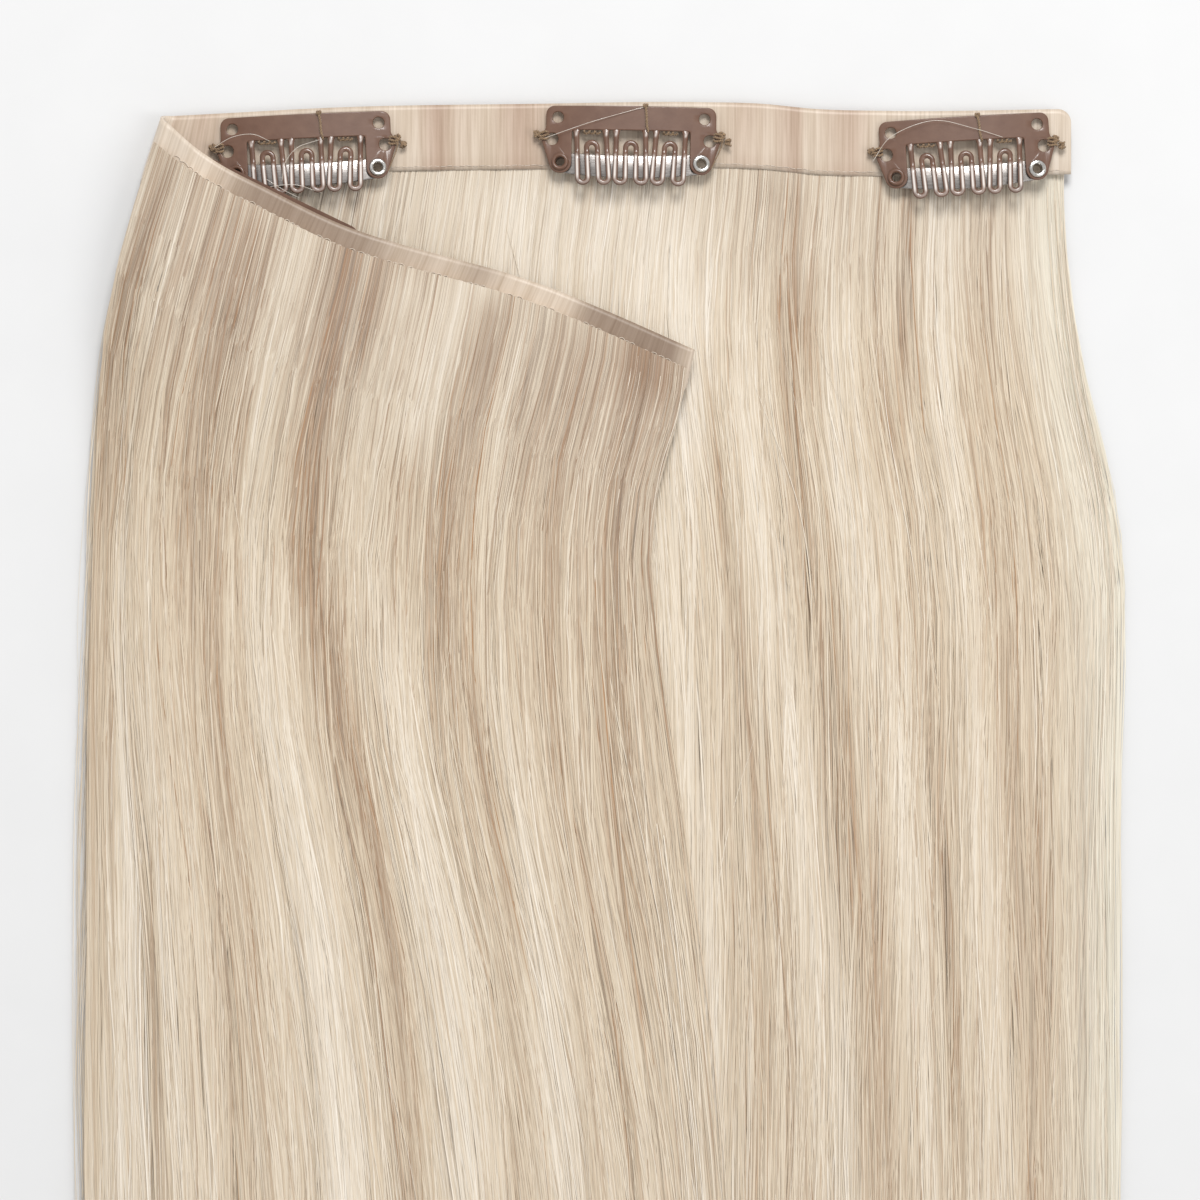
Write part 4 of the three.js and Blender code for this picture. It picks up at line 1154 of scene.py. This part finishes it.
def ribbons(lines, width, roll):
    """A flat strip along each line, rolled about it by its own angle: two points, one on either side of the
    line."""
    along = unit(np.gradient(lines, axis=1))
    side = unit(np.cross(along, [0.0, 0.0, 1.0]))
    up = np.cross(side, along)
    half = (side * np.cos(roll)[:, None, None] + up * np.sin(roll)[:, None, None]) * width[..., None] / 2
    points = np.stack([lines + half, lines - half], 2)
    count, length = lines.shape[:2]
    row = np.arange(length - 1) * 2
    faces = np.stack([row, row + 1, row + 3, row + 2], -1)
    offsets = np.arange(count) * length * 2
    return points.reshape(-1, 3), (faces[None] + offsets[:, None, None]).reshape(-1, 4)


def make_strands(name, sheet, bands, count, random, material, denser=None):
    """One piece of a sheet's strands: thin strips from the roots to the tips, each with its own tone."""
    across = random.random(count)
    if denser is not None:
        across = np.where(random.random(count) < 0.62, denser + (1 - denser) * across, across)
    across = 0.002 + 0.996 * across
    lines, level = strand_paths(sheet, across, STRAND_ROWS, random)
    share = np.linspace(0, 1, STRAND_ROWS) ** ROW_SPREAD
    width = random.uniform(*STRAND_WIDTH, count)[:, None] * (1 - 0.75 * share**6)
    roll = random.normal(0, 0.26, count)
    own = random.normal(0.03, 0.2, count)
    lowlight = random.random(count)
    own = np.where(lowlight < 0.1, own - 0.45, own)
    own = np.where(lowlight > 0.82, own + 0.25, own)
    own = own + random.normal(0, 0.13, CLUMPS)[(across * CLUMPS).astype(int)]
    root = lines[:, :1, 1]
    # strands that lie lower in the sheet are darkened by up to 0.12: painted shade within the hair
    tone = tone_at(bands, lines[..., 0], lines[..., 1]) * BAND_SHARE + own[:, None] - 0.12 * (1 - level)
    tone = tone + straight_column(ROOT_TONES, sheet, root - lines[..., 1])
    warmth = random.normal(0.25, 0.65, count)[:, None] * np.ones_like(tone)
    colour = hair_colour(tone, warmth)
    colour = ashen(colour, -lines[..., 1] + root)
    fringe = FRINGE[sheet] * ease(across, 0.925, 0.995) * random.uniform(0.5, 1, count)
    colour = colour + fringe[:, None, None] * (HAIR_FRINGE - colour)
    points, faces = ribbons(lines, width, roll)
    piece = new_piece(name, points, faces, material, closed=False)
    set_colours(piece, np.repeat(colour.reshape(-1, 3), 2, axis=0))
    start = random.random(count)[:, None] + 0 * tone
    length = np.broadcast_to(-lines[..., 1], tone.shape) * MILLIMETRE
    beside = np.stack([start, start + width * MILLIMETRE], -1)
    place = np.stack([beside, np.repeat(length[..., None], 2, -1)], -1)
    set_uv(piece, place.reshape(-1, 2))
    return piece


def make_body(name, sheet, bands, node, material):
    """The dense inside of a sheet of hair: its upper side below the strands, its underside where it lies."""
    place, floor, full, edges = SHEETS[sheet]
    across = np.linspace(0.003, BODY_END[sheet], 161)[None, :]
    rows = (np.linspace(0, 1, 54) ** 1.25)[:, None]
    fullness, reach = lock_form(across)
    down = rows * (HAIR_LENGTH - STITCH_INSET) * (reach - 0.02)
    x, y = place(across, down)
    low = floor(across, down, x, y)
    thick = sheet_depth(full, down) * (1 + (fullness - 1) * ease(down, 2, 40)) * edge_factor(across, edges)
    top = np.stack([x, y, low + BODY_SHARE * thick - BODY_SINK * ease(down, 8, 20)], -1)
    bottom = np.stack([x, y, low + 0 * x], -1)
    points, faces = closed_sheet(top, bottom)
    piece = new_piece(name, points, faces, material)
    # the dense inside is 0.05 darker than the strands: painted shade in the gaps between them
    tone = tone_at(bands, x, y) * BAND_SHARE - 0.05 + straight_column(ROOT_TONES, sheet, down)
    colour = ashen(hair_colour(tone, 0.3 + 0 * tone), down + 0 * tone).reshape(-1, 3)
    set_colours(piece, np.concatenate([colour, colour]))
    spot = np.stack([across * BASE_RUN + 0 * down, down], -1).reshape(-1, 2) * MILLIMETRE
    set_uv(piece, np.concatenate([spot, spot]))
    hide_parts(node)
    return piece


def make_crossing_hairs(name, sheet, count, random, material):
    """Single pale hairs that lie across a sheet: each slips sideways over a short part of its run, on top."""
    place, floor, full, edges = SHEETS[sheet]
    t = np.linspace(0, 1, 20)[None, :]
    start = random.uniform(6, 260, count)[:, None]
    long = random.uniform(25, 110, count)[:, None]
    across = random.uniform(0.03, 0.97, count)[:, None]
    slip = random.normal(0, 0.03, count)[:, None]
    bow = random.normal(0, 0.012, count)[:, None]
    spread = np.clip(across + slip * (t - 0.5) + bow * np.sin(math.pi * t), 0.005, 0.995)
    down = start + long * t
    x, y = place(spread, down)
    fullness, _ = lock_form(spread)
    thick = sheet_depth(full, down) * (1 + (fullness - 1) * ease(down, 2, 40)) * edge_factor(spread, edges)
    z = floor(spread, down, x, y) + thick + 0.2 + 0.25 * np.sin(math.pi * t)
    width = random.uniform(0.07, 0.13, count)[:, None] * np.sqrt(np.clip(4 * t * (1 - t), 0.05, 1))
    points, faces = ribbons(np.stack([x, y, z], -1), width, random.normal(0, 0.4, count))
    finish_loose(name, points, faces, x, random, material)


def make_edge_hairs(name, sheet, side, count, random, material, resting=False):
    """Fine hairs that stand off a sheet's side edge: they leave it slowly, by up to two or three millimetres,
    wave a little and end at any height."""
    place, floor = SHEETS[sheet][:2]
    t = np.linspace(0, 1, 44)[None, :]
    start = random.uniform(0, 190, count)[:, None]
    long = random.uniform(40, 170, count)[:, None]
    down = start + long * t
    near = random.uniform(0, 0.12 if resting else 0.02, count)[:, None]
    spread = near if side < 0 else 1 - near
    x, y = place(spread + 0 * t, down)
    away = np.abs(random.normal(0, 1.25, count))[:, None] * ease(t, 0.0, 0.8)
    wave = 0.3 * np.sin(down * 2 * math.pi / 60 + random.random(count)[:, None] * 6.3) * ease(t, 0, 0.3)
    x = x + side * np.clip(away + wave, -0.5, 3.4)
    resting = floor(spread + 0 * t, down, x, y) if resting else 0.25
    z = resting + random.uniform(0, 1.6, count)[:, None] * (1 - 0.5 * t)
    width = random.uniform(0.07, 0.15, count)[:, None] * (1 - 0.6 * t**4)
    points, faces = ribbons(np.stack([x, y, z], -1), width, random.normal(0, 0.4, count))
    finish_loose(name, points, faces, x, random, material)


def finish_loose(name, points, faces, x, random, material):
    """Colour and surface places of loose hairs: pale, each a little different."""
    piece = new_piece(name, points, faces, material, closed=False)
    tone = random.uniform(0.1, 1.0, len(x))[:, None] + 0 * x
    colour = hair_colour(tone, 0 * tone).reshape(-1, 3)
    set_colours(piece, np.repeat(colour, 2, axis=0))
    beside = points.reshape(-1, 2, 3)
    set_uv(piece, np.stack([beside[:, :, 0], beside[:, :, 1]], -1).reshape(-1, 2) * MILLIMETRE)


def make_hair():
    """Both sheets: their dense insides, their strands, and the loose hairs."""
    random = np.random.default_rng(11)
    strand = hair_finish("blond_strand", 0.42, 0.55)
    dense = hair_finish("blond_inside", 0.6, 0.2)
    make_body("hair_under_body", "under", UNDER_TONES, "hair_under", dense)
    make_body("hair_over_body", "over", OVER_TONES, "hair_over", dense)
    for part in range(2):
        make_strands(f"hair_under_strands_{part + 1}", "under", UNDER_TONES, UNDER_STRANDS // 2, random,
                     strand, denser=0.28)
        make_strands(f"hair_over_strands_{part + 1}", "over", OVER_TONES, OVER_STRANDS // 2, random, strand)
    make_crossing_hairs("hair_under_crossing", "under", 70, random, strand)
    make_crossing_hairs("hair_over_crossing", "over", 90, random, strand)
    make_edge_hairs("hair_left_edge", "over", -1, 150, random, strand)
    make_edge_hairs("hair_right_edge", "under", 1, 190, random, strand)
    make_edge_hairs("hair_middle_edge", "over", 1, 160, random, strand, resting=True)


# Clips


def clip_place(clip, points):
    """Points of a clip's own frame set in the part's: tilted about the rivet line, turned, and moved
    there."""
    x, y, z = points[..., 0], points[..., 1], points[..., 2]
    tilted_y = y * math.cos(CLIP_TILT) + z * math.sin(CLIP_TILT)
    tilted_z = z * math.cos(CLIP_TILT) - y * math.sin(CLIP_TILT)
    turn = math.radians(clip["turn"])
    along = clip["along"] * BASE_RUN
    edge = TAPE_WIDTH * straight_column(BASE_WAVE, "rise", clip["along"])
    return np.stack([
        along + x * math.cos(turn) - tilted_y * math.sin(turn),
        edge - clip["inset"] * TAPE_WIDTH - BAR_TOP + x * math.sin(turn) + tilted_y * math.cos(turn),
        CLIP_HEIGHT + tilted_z,
    ], -1)


def rounded_outline(corners):
    """A closed outline from corners given as x, y and radius: each corner is replaced by an arc that touches
    both its sides."""
    spots = np.array([corner[:2] for corner in corners], float)
    radii = [corner[2] for corner in corners]
    ring = []
    for here, before, after, radius in zip(spots, np.roll(spots, 1, 0), np.roll(spots, -1, 0), radii):
        to_before, to_after = unit(before - here), unit(after - here)
        half = math.acos(float(np.clip(to_before @ to_after, -1, 1))) / 2
        middle = here + unit(to_before + to_after) * radius / math.sin(half)
        first = here + to_before * radius / math.tan(half) - middle
        last = here + to_after * radius / math.tan(half) - middle
        start = math.atan2(first[1], first[0])
        sweep = (math.atan2(last[1], last[0]) - start + math.pi) % (2 * math.pi) - math.pi
        angle = start + sweep * np.linspace(0, 1, 9)
        ring.append(middle + radius * np.stack([np.cos(angle), np.sin(angle)], -1))
    return np.concatenate(ring)


def circle(x, y, radius, steps=36):
    """A round hole: points at even angles, clockwise."""
    angle = -2 * math.pi * np.arange(steps) / steps
    return np.stack([x + radius * np.cos(angle), y + radius * np.sin(angle)], -1)


def plate_outline():
    """Bar and ears: the ear's outer side is the line from the shoulder that touches the ear's round end."""
    reach = math.hypot(CLIP_LENGTH / 2 - RIVET_PLACE, SHOULDER_HEIGHT)
    touch = math.atan2(SHOULDER_HEIGHT, CLIP_LENGTH / 2 - RIVET_PLACE) - math.acos(EAR_RADIUS / reach)
    slope = math.tan(touch + math.pi / 2)
    foot = CLIP_LENGTH / 2 - (SHOULDER_HEIGHT + EAR_RADIUS) / slope
    inner = RIVET_PLACE - EAR_RADIUS
    right = [
        (inner, BAR_FOOT, 0.45),
        (inner, -EAR_RADIUS, EAR_RADIUS * 0.99),
        (foot, -EAR_RADIUS, EAR_RADIUS * 0.99),
        (CLIP_LENGTH / 2, SHOULDER_HEIGHT, 0.9),
        (BAR_LENGTH / 2, SIDE_HEIGHT, 1.2),
        (BAR_LENGTH / 2, BAR_TOP, BAR_CORNER),
    ]
    left = [(-x, y, radius) for x, y, radius in reversed(right)]
    return rounded_outline(right + left)


def bow_outline():
    """The bow: a round end about each rivet, joined by a parabola above and a deeper one below."""
    end = np.linspace(-math.pi / 2, math.pi / 2, 17)
    right = np.stack([RIVET_PLACE + BOW_END_RADIUS * np.cos(end), BOW_END_RADIUS * np.sin(end)], -1)
    x = np.linspace(RIVET_PLACE, -RIVET_PLACE, 41)[1:-1]
    share = 1 - (x / RIVET_PLACE) ** 2
    top = np.stack([x, BOW_END_RADIUS + (BOW_TOP - BOW_END_RADIUS) * share], -1)
    bottom = np.stack([x[::-1], -BOW_END_RADIUS + (BOW_END_RADIUS - BOW_DROP) * share], -1)
    return np.concatenate([right, top, -right, bottom])


def stamped(name, clip, outline, holes, metal, cuts, lift, material, body="root"):
    """A plate pressed from sheet: the outline filled between its holes, given the metal's thickness with
    rounded edges, cut where it bends, lifted by a function of the place, and set on its clip."""
    drawn = bpy.data.curves.new(name, "CURVE")
    drawn.dimensions = "2D"
    drawn.fill_mode = "BOTH"
    drawn.extrude = metal / 2 - EDGE_ROUNDING
    drawn.bevel_depth = EDGE_ROUNDING
    drawn.bevel_resolution = 2
    drawn.offset = -EDGE_ROUNDING
    for ring in [outline, *holes]:
        line = drawn.splines.new("POLY")
        line.points.add(len(ring) - 1)
        flat = np.zeros((len(ring), 1))
        line.points.foreach_set("co", np.concatenate([ring, flat, flat + 1], -1).ravel())
        line.use_cyclic_u = True
    holder = bpy.data.objects.new(name, drawn)
    bpy.context.scene.collection.objects.link(holder)
    mesh = bpy.data.meshes.new_from_object(holder.evaluated_get(bpy.context.evaluated_depsgraph_get()))
    bpy.data.objects.remove(holder)
    bpy.data.curves.remove(drawn)
    made = bmesh.new()
    made.from_mesh(mesh)
    bmesh.ops.remove_doubles(made, verts=made.verts, dist=0.0005)
    for axis, places in cuts:
        for place in places:
            everything = made.verts[:] + made.edges[:] + made.faces[:]
            bmesh.ops.bisect_plane(made, geom=everything, plane_co=axis * place, plane_no=axis)
    bmesh.ops.recalc_face_normals(made, faces=made.faces)
    made.to_mesh(mesh)
    made.free()
    points = np.zeros(len(mesh.vertices) * 3, np.float32)
    mesh.vertices.foreach_get("co", points)
    points = points.reshape(-1, 3).astype(float)
    points[:, 2] += lift(points[:, 0], points[:, 1])
    points = (clip_place(clip, points) + MODEL_ORIGIN) * MILLIMETRE
    mesh.vertices.foreach_set("co", points.astype(np.float32).ravel())
    mesh.polygons.foreach_set("use_smooth", np.ones(len(mesh.polygons), bool))
    mesh.materials.clear()
    mesh.materials.append(material)
    mesh.update()
    mesh.name = name
    piece = bpy.data.objects.new(name, mesh)
    bpy.context.scene.collection.objects.link(piece)
    even = piece.modifiers.new("even_shading", "WEIGHTED_NORMAL")
    even.weight = 90
    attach(piece, body)
    return piece


def tooth_line():
    """Middle line of one looped tooth, from inside the bar: down a leg, round the first lower loop, up, over
    the arch, down, round the second loop and back up. Returns its places."""
    leg, loop = LEG_SPREAD / 2, LOOP_SPREAD / 2
    inner = loop - LOOP_RADIUS
    turn = np.linspace(math.pi, 2 * math.pi, 17)
    down = np.linspace(0, 1, 18)[:, None]
    root = np.array([[-leg, BAR_FOOT + 0.75], [-leg, BAR_FOOT + 0.4], [-leg, BAR_FOOT + 0.1]])
    start, finish = np.array([-leg, BAR_FOOT - LEG_FLARE]), np.array([-loop - LOOP_RADIUS, -LOOP_DROP])
    bottom = np.stack([-loop + LOOP_RADIUS * np.cos(turn), -LOOP_DROP + LOOP_RADIUS * np.sin(turn)], -1)
    rise = np.stack([0 * down[1:, 0] - inner, -LOOP_DROP + (ARCH_HEIGHT + LOOP_DROP) * down[1:, 0]], -1)
    over = np.linspace(math.pi, math.pi / 2, 9)[1:]
    arch = np.stack([inner * np.cos(over), ARCH_HEIGHT + inner * np.sin(over)], -1)
    half = np.concatenate([root, start + (finish - start) * down, bottom[1:], rise, arch])
    mirrored = half[::-1][1:] * [-1, 1]
    return np.concatenate([half, mirrored])


def tooth_body(centre_root, centre_tip):
    """One tooth of pressed wire: a ring with a domed top and a flat underside carried along its middle
    line. It widens and sinks into the bar at both ends, and the line slides sideways between root and tip.
    Returns the points, the faces and the share of painted highlight at each point."""
    line = tooth_line()
    along = unit(np.gradient(line, axis=0))
    side = np.stack([-along[:, 1], along[:, 0]], -1)
    reach = np.minimum(np.arange(len(line)), np.arange(len(line))[::-1])
    above = line[:, 1] - BAR_FOOT
    flare = np.where(reach < 12, ease(above, -2 * LEG_FLARE, 0), 0)
    fillet = np.where(reach < 12, ease(above, -0.5, 0.1) ** 2, 0)
    width = WIRE_WIDTH + (LEG_ROOT - WIRE_WIDTH) * flare + ROOT_FILLET * fillet
    dome = 0.27 - 0.16 * np.where(reach < 12, ease(above, -0.25, 0.7), 0)
    angle = np.linspace(0, math.pi, 10)
    across = np.concatenate([np.cos(angle) / 2, [-0.42, 0.42]])
    height = np.concatenate([np.sin(angle), [0, 0]])
    top = -0.03 + dome[:, None] * height
    ring_z = np.where(np.arange(12) < 10, top, -METAL / 2)
    spots = line[:, None] + side[:, None] * (width[:, None] * across)[..., None]
    share = np.clip((spots[..., 1] + LOOP_DROP) / (BAR_FOOT + LOOP_DROP), 0, 1)
    x = spots[..., 0] + centre_tip + (centre_root - centre_tip) * share
    y = spots[..., 1]
    lift = arch_lift(x) + TOOTH_STEP * ease(-y, -STEP_TOP, STEP_RUN - STEP_TOP)
    points = np.stack([x, y, ring_z + lift], -1)
    # painted highlight: a pale glare on the left of each wire's crown where it lies over the bow, weaker at
    # the loops' bottoms, and a glint just below the bar
    crown = np.concatenate([np.exp(-(((angle - 1.75) / 0.42) ** 2)), [0, 0]])
    over_bow = ease(-line[:, 1], -1.5, -0.9) * (1 - 0.75 * ease(-line[:, 1], 2.5, 3.3))
    glint = 0.7 * np.where(reach < 12, np.exp(-(((above + 0.75) / 0.22) ** 2)), 0)
    painted_glare = (over_bow + glint)[:, None] * crown
    rows, sides = points.shape[:2]
    return points.reshape(-1, 3), ring_faces(rows, sides), painted_glare.ravel()


def rivet_body(side):
    """An eyelet turned about its axis: a rolled head over the ear, a barrel, and a foot under the bow."""
    head = METAL / 2 + METAL_GAP * 0.5
    foot = -(METAL / 2 + METAL_GAP + BOW_METAL + METAL_GAP)
    roll = np.linspace(0, math.pi, 13)
    middle = (RIVET_FLANGE + RIVET_BORE) / 2
    rim = (RIVET_FLANGE - RIVET_BORE) / 2
    profile = np.concatenate([
        np.stack([middle - rim * np.cos(roll), head + 0.05 + (RIVET_LIP + 0.05) * np.sin(roll)], -1),
        [[RIVET_FLANGE, head], [RIVET_BARREL, head], [RIVET_BARREL, foot], [RIVET_FLANGE, foot],
         [RIVET_FLANGE, foot - RIVET_LIP], [RIVET_BORE, foot - RIVET_LIP], [RIVET_BORE, head * 0.5]],
    ])
    turn = 2 * math.pi * np.arange(40) / 40
    out, height = profile[:, None, 0], profile[:, None, 1]
    points = np.stack([out * np.cos(turn), out * np.sin(turn), height + 0 * turn], -1)
    rows, sides = points.shape[:2]
    number = np.arange(rows * sides).reshape(rows, sides)
    below, beside = np.roll(number, -1, 0), np.roll(number, -1, 1)
    faces = np.stack([number, below, np.roll(below, -1, 1), beside], -1).reshape(-1, 4)
    slope = side * math.atan(2 * CLIP_SAG * RIVET_PLACE / (CLIP_LENGTH / 2) ** 2)
    x = points[..., 0] * math.cos(slope) + points[..., 2] * math.sin(slope)
    z = points[..., 2] * math.cos(slope) - points[..., 0] * math.sin(slope)
    placed = np.stack([x + side * RIVET_PLACE, points[..., 1], z + arch_lift(RIVET_PLACE)], -1)
    return placed.reshape(-1, 3), faces


def bar_lift(x, y):
    """Height of the bar's middle layer over the clip's own level: its arch."""
    return arch_lift(x) + 0 * y


def bow_lift(x, y):
    """Height of the bow's middle layer: the arch, a belly between the ears, and a camber across the strip."""
    below = (METAL + BOW_METAL) / 2 + METAL_GAP
    belly = BOW_RISE * np.clip(1 - (x / (RIVET_PLACE - EAR_RADIUS)) ** 2, 0, 1)
    camber = BOW_CAMBER * ((y + 0.6) / 2) ** 2 * np.clip(1 - (x / 12) ** 2, 0, 1)
    return arch_lift(x) - below + belly - camber


def make_clip(clip, lacquer, wire, sprung, nickel):
    """One snap clip: the pressed bar with its ears, the teeth, the bow and the two rivets."""
    name, comb_body = clip["name"], clip["comb_body"]
    across, up = np.array([1.0, 0, 0]), np.array([0, 1.0, 0])
    holes = [
        circle(side * x, y, radius)
        for x, y, radius in (CORNER_HOLE, SEWING_HOLE, (RIVET_PLACE, 0, RIVET_HOLE))
        for side in (-1, 1)
    ]
    bends = [(across, np.linspace(-14.5, 14.5, 25))]
    plate = stamped(f"{name}_bar", clip, plate_outline(), holes, METAL, bends, bar_lift, lacquer)
    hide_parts(f"{name}_plate")

    bends = [(across, np.linspace(-10.5, 10.5, 36)), (up, np.linspace(-2.6, 1.2, 8))]
    bow = stamped(f"{name}_leaf", clip, bow_outline(), holes[4:], BOW_METAL, bends, bow_lift, sprung)
    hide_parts(f"{name}_bow")

    bodies = [tooth_body(k * TOOTH_PITCH_ROOT, k * TOOTH_PITCH_TIP) for k in (-1, 0, 1)]
    points, faces = join([body[:2] for body in bodies])
    teeth = new_piece(f"{name}_teeth", clip_place(clip, points), faces, wire, body=comb_body)
    # share of painted highlight along the teeth
    painted_glare_layer = teeth.data.attributes.new("painted_glare", "FLOAT", "POINT")
    painted_glare_layer.data.foreach_set("value", np.concatenate([body[2] for body in bodies]).astype(np.float32))
    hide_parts(f"{name}_comb")

    ends = ((-1, "left", lacquer, "lacquered_steel"), (1, "right", nickel, "nickel"))
    for side, end, material, slot in ends:
        points, faces = rivet_body(side)
        eyelet = new_piece(f"{name}_eyelet_{end}", clip_place(clip, points), faces, material)
        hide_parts(f"{name}_rivet_{end}")


# Threads


def spline_line(spots, count):
    """A smooth line through a few places: cubics from one to the next with the slopes of their neighbours."""
    spots = np.array(spots, float)
    rows = [{"at": k, "x": p[0], "y": p[1], "z": p[2]} for k, p in enumerate(spots)]
    at = np.linspace(0, len(spots) - 1, count)
    return np.stack([smooth_column(rows, axis, at) for axis in "xyz"], -1)


def twisted(line, radius, pitch, sides=6):
    """Two plies of thread wound round a line: each lies half a ply from it, and turns once in every pitch."""
    along = unit(np.gradient(line, axis=0))
    side = unit(np.cross(along, [0.13, 0.21, 0.97]))
    other = np.cross(along, side)
    length = np.concatenate([[0], np.cumsum(np.linalg.norm(np.diff(line, axis=0), axis=1))])
    plies = []
    for start in (0, math.pi):
        angle = (2 * math.pi * length / pitch + start)[:, None]
        plies.append(line + radius * 0.85 * (side * np.cos(angle) + other * np.sin(angle)))
    return tubes(np.stack(plies), radius, sides)


def make_knots(clip, cotton, random):
    """Sewing thread of one clip: turns through each sewing hole and round the ear's edge, a small knot beside
    each ear, the wrap over the bar with a bead on its top edge, and the turns that show in the windows."""
    parts = []
    for side in (-1, 1):
        phase = np.linspace(0, 2 * math.pi * 2.6, 72)
        turns = np.stack([
            side * (15.5 + 0.8 * np.cos(phase)),
            4.0 + 0.09 * phase + 0.1 * np.sin(2.3 * phase),
            arch_lift(15.3) + 0.02 + 0.46 * np.sin(phase),
        ], -1)
        parts.append(twisted(turns, 0.14, 0.8))
        for lump in KNOTS[side]:
            angle = np.linspace(0, 2 * math.pi, 104)
            a, b, c = random.uniform(0, 2 * math.pi, 3)
            knot = np.stack([
                side * lump[0] + 0.36 * np.sin(3 * angle + a) + 0.12 * np.sin(7 * angle + b),
                lump[1] + 0.4 * np.sin(2 * angle + c) + 0.14 * np.cos(5 * angle + a),
                arch_lift(lump[0]) + 0.2 + 0.3 * np.cos(4 * angle + b),
            ], -1)
            parts.append(twisted(knot, 0.15, 0.8))
    if clip["name"] != "clip_3":
        hanging = [(16.3, 4.3, 0.1), (15.9, 2.6, 0.1), (15.0, 0.6, 0.05), (14.3, -0.9, 0.0)]
        parts.append(twisted(spline_line(hanging, 48), 0.07, 0.6))
    wrap = [(2.5, BAR_TOP + 0.1, -0.5), (2.5, BAR_TOP + 0.2, 0.2), (2.55, BAR_TOP - 0.4, 0.45),
            (2.7, 8.4, 0.42), (2.75, 7, 0.42), (2.9, BAR_FOOT + 0.3, 0.42),
            (2.95, BAR_FOOT - 0.2, 0.1), (2.95, BAR_FOOT - 0.2, -0.6)]
    parts.append(twisted(spline_line(wrap, 72), 0.15, 0.9))
    angle = np.linspace(0, 2 * math.pi, 48)
    bead = np.stack([
        2.5 + 0.3 * np.sin(angle),
        BAR_TOP + 0.05 + 0.2 * np.sin(2 * angle),
        0.3 + 0.25 * np.cos(angle),
    ], -1)
    parts.append(twisted(bead, 0.14, 0.8))
    for start, end in ((-8.6, -5.7), (5.6, 8.0)):
        phase = np.linspace(0, 2 * math.pi * 3, 64)
        along = np.linspace(start, end, 64)
        turns = np.stack([along + 0.25 * np.cos(phase), BAR_FOOT - 0.35 + 0.22 * np.sin(phase),
                          -0.45 + 0.3 * np.cos(phase)], -1)
        parts.append(twisted(turns, 0.13, 0.8))
    points, faces = join(parts)
    new_piece(f"{clip['name']}_sewing_thread", clip_place(clip, points), faces, cotton, closed=False)


KNOTS = {-1: [(16.7, 5.0)], 1: [(16.2, 5.2), (17.2, 4.0)]}  # middles of the knots beside each ear


CLEAR_THREADS = {
    "clip_1": [
        [(-16.3, 4.8, 0.3), (-12.9, 6.4, 0.9), (-9.3, 6.7, 1.0), (-6.5, 5.5, 0.3)],
        [(-4.5, -2.0, 1.1), (-3.8, 1.2, 1.5), (-1.5, 3.9, 1.2), (2.4, 5.3, 0.2)],
        [(-9.0, -3.2, 1.0), (-4.5, -2.7, 1.4), (-1.5, -2.9, 1.3), (2.4, -4.3, 0.3)],
        [(-7.2, -1.5, 1.0), (-4.2, -3.6, 1.2), (-1.5, -5.0, 0.2)],
    ],
    "clip_2": [[(-15.2, 4.1, 0.3), (-7.2, 7.0, 0.6), (0.3, 9.3, 0.5), (2.4, 9.9, 0.4)]],
    "clip_3": [[(-16.6, 2.9, 0.2), (-12.9, 7.2, 0.8), (-5.4, 9.5, 1.0), (1.7, 7.7, 0.8), (6.7, 5.9, 0.3)]],
}


def make_clear_threads(clip, clear):
    """Thin clear threads that lie in arcs over one clip."""
    lines = [spline_line(spots, 40) for spots in CLEAR_THREADS[clip["name"]]]
    points, faces = tubes(clip_place(clip, np.stack(lines)), 0.04, 4)
    new_piece(f"{clip['name']}_clear_thread", points, faces, clear, closed=False)


def make_stitches(cotton):
    """The two stitch rows. On the clips' side short flat stitches follow each other along the tape's lower
    edge; on the hair side the thread runs in small loops, a sine across the row with a second one along
    it."""
    run = np.arange(4.0, BASE_RUN - 1.5, 1.15)[:, None] + np.linspace(0, 0.92, 5)
    y = base_edge(run) - BASE_STITCH_SHARE * TAPE_WIDTH + 0.07 * np.sin(run * 2.1)
    arc = np.sin(np.linspace(0, math.pi, 5)) * 0.06
    z = TAPE_LIFT + FILM / 2 - 0.1 + arc + 0 * run
    dashes = tubes(np.stack([run, y, z], -1), 0.06, 4)
    step = np.linspace(3, FLAP_RUN - 0.5, 1250)
    phase = 2 * math.pi * step / 1.3 + 1.2 * np.sin(step * 0.7)
    moved = step + 0.2 * np.cos(phase) + 0.1 * np.sin(step * 1.3)
    inset = STITCH_INSET + 0.05 + 0.2 * np.sin(phase) + 0.12 * np.sin(step * 0.9) + 0.08 * np.sin(step * 2.9)
    lean = lean_at(moved, FLAP_LEAN)
    x, y = flap_edge(moved)
    slant = inset / np.sin(lean + DIP)
    high = flap_height(moved) + FILM / 2 + 0.1
    line = np.stack([x - slant * np.cos(lean), y - slant * np.sin(lean), high], -1)
    loops = tubes(line[None], 0.07, 6)
    points, faces = join([dashes, loops])
    piece = new_piece("stitch_rows", points, faces, cotton, closed=False)


def make_clips():
    """The three clips that show with their threads; the two under the fold keep the part's own plain
    plates."""
    random = np.random.default_rng(5)
    lacquer, wire, sprung, nickel = lacquer_finish(), wire_finish(), bow_finish(), nickel_finish()
    cotton = thread_finish("brown_cotton", linear(88, 67, 47), linear(158, 130, 98), 0.75)
    clear = clear_finish()
    for clip in SHOWN_CLIPS:
        make_clip(clip, lacquer, wire, sprung, nickel)
        make_knots(clip, cotton, random)
        make_clear_threads(clip, clear)
    for name in ("clip_4", "clip_5"):
        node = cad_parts[name]
        node.data.materials.clear()
        node.data.materials.append(lacquer)


make_camera()
make_studio()
make_hair()
make_tape()
make_clips()
make_stitches(thread_finish("pale_cotton", linear(188, 172, 154), linear(226, 214, 199), 0.7))
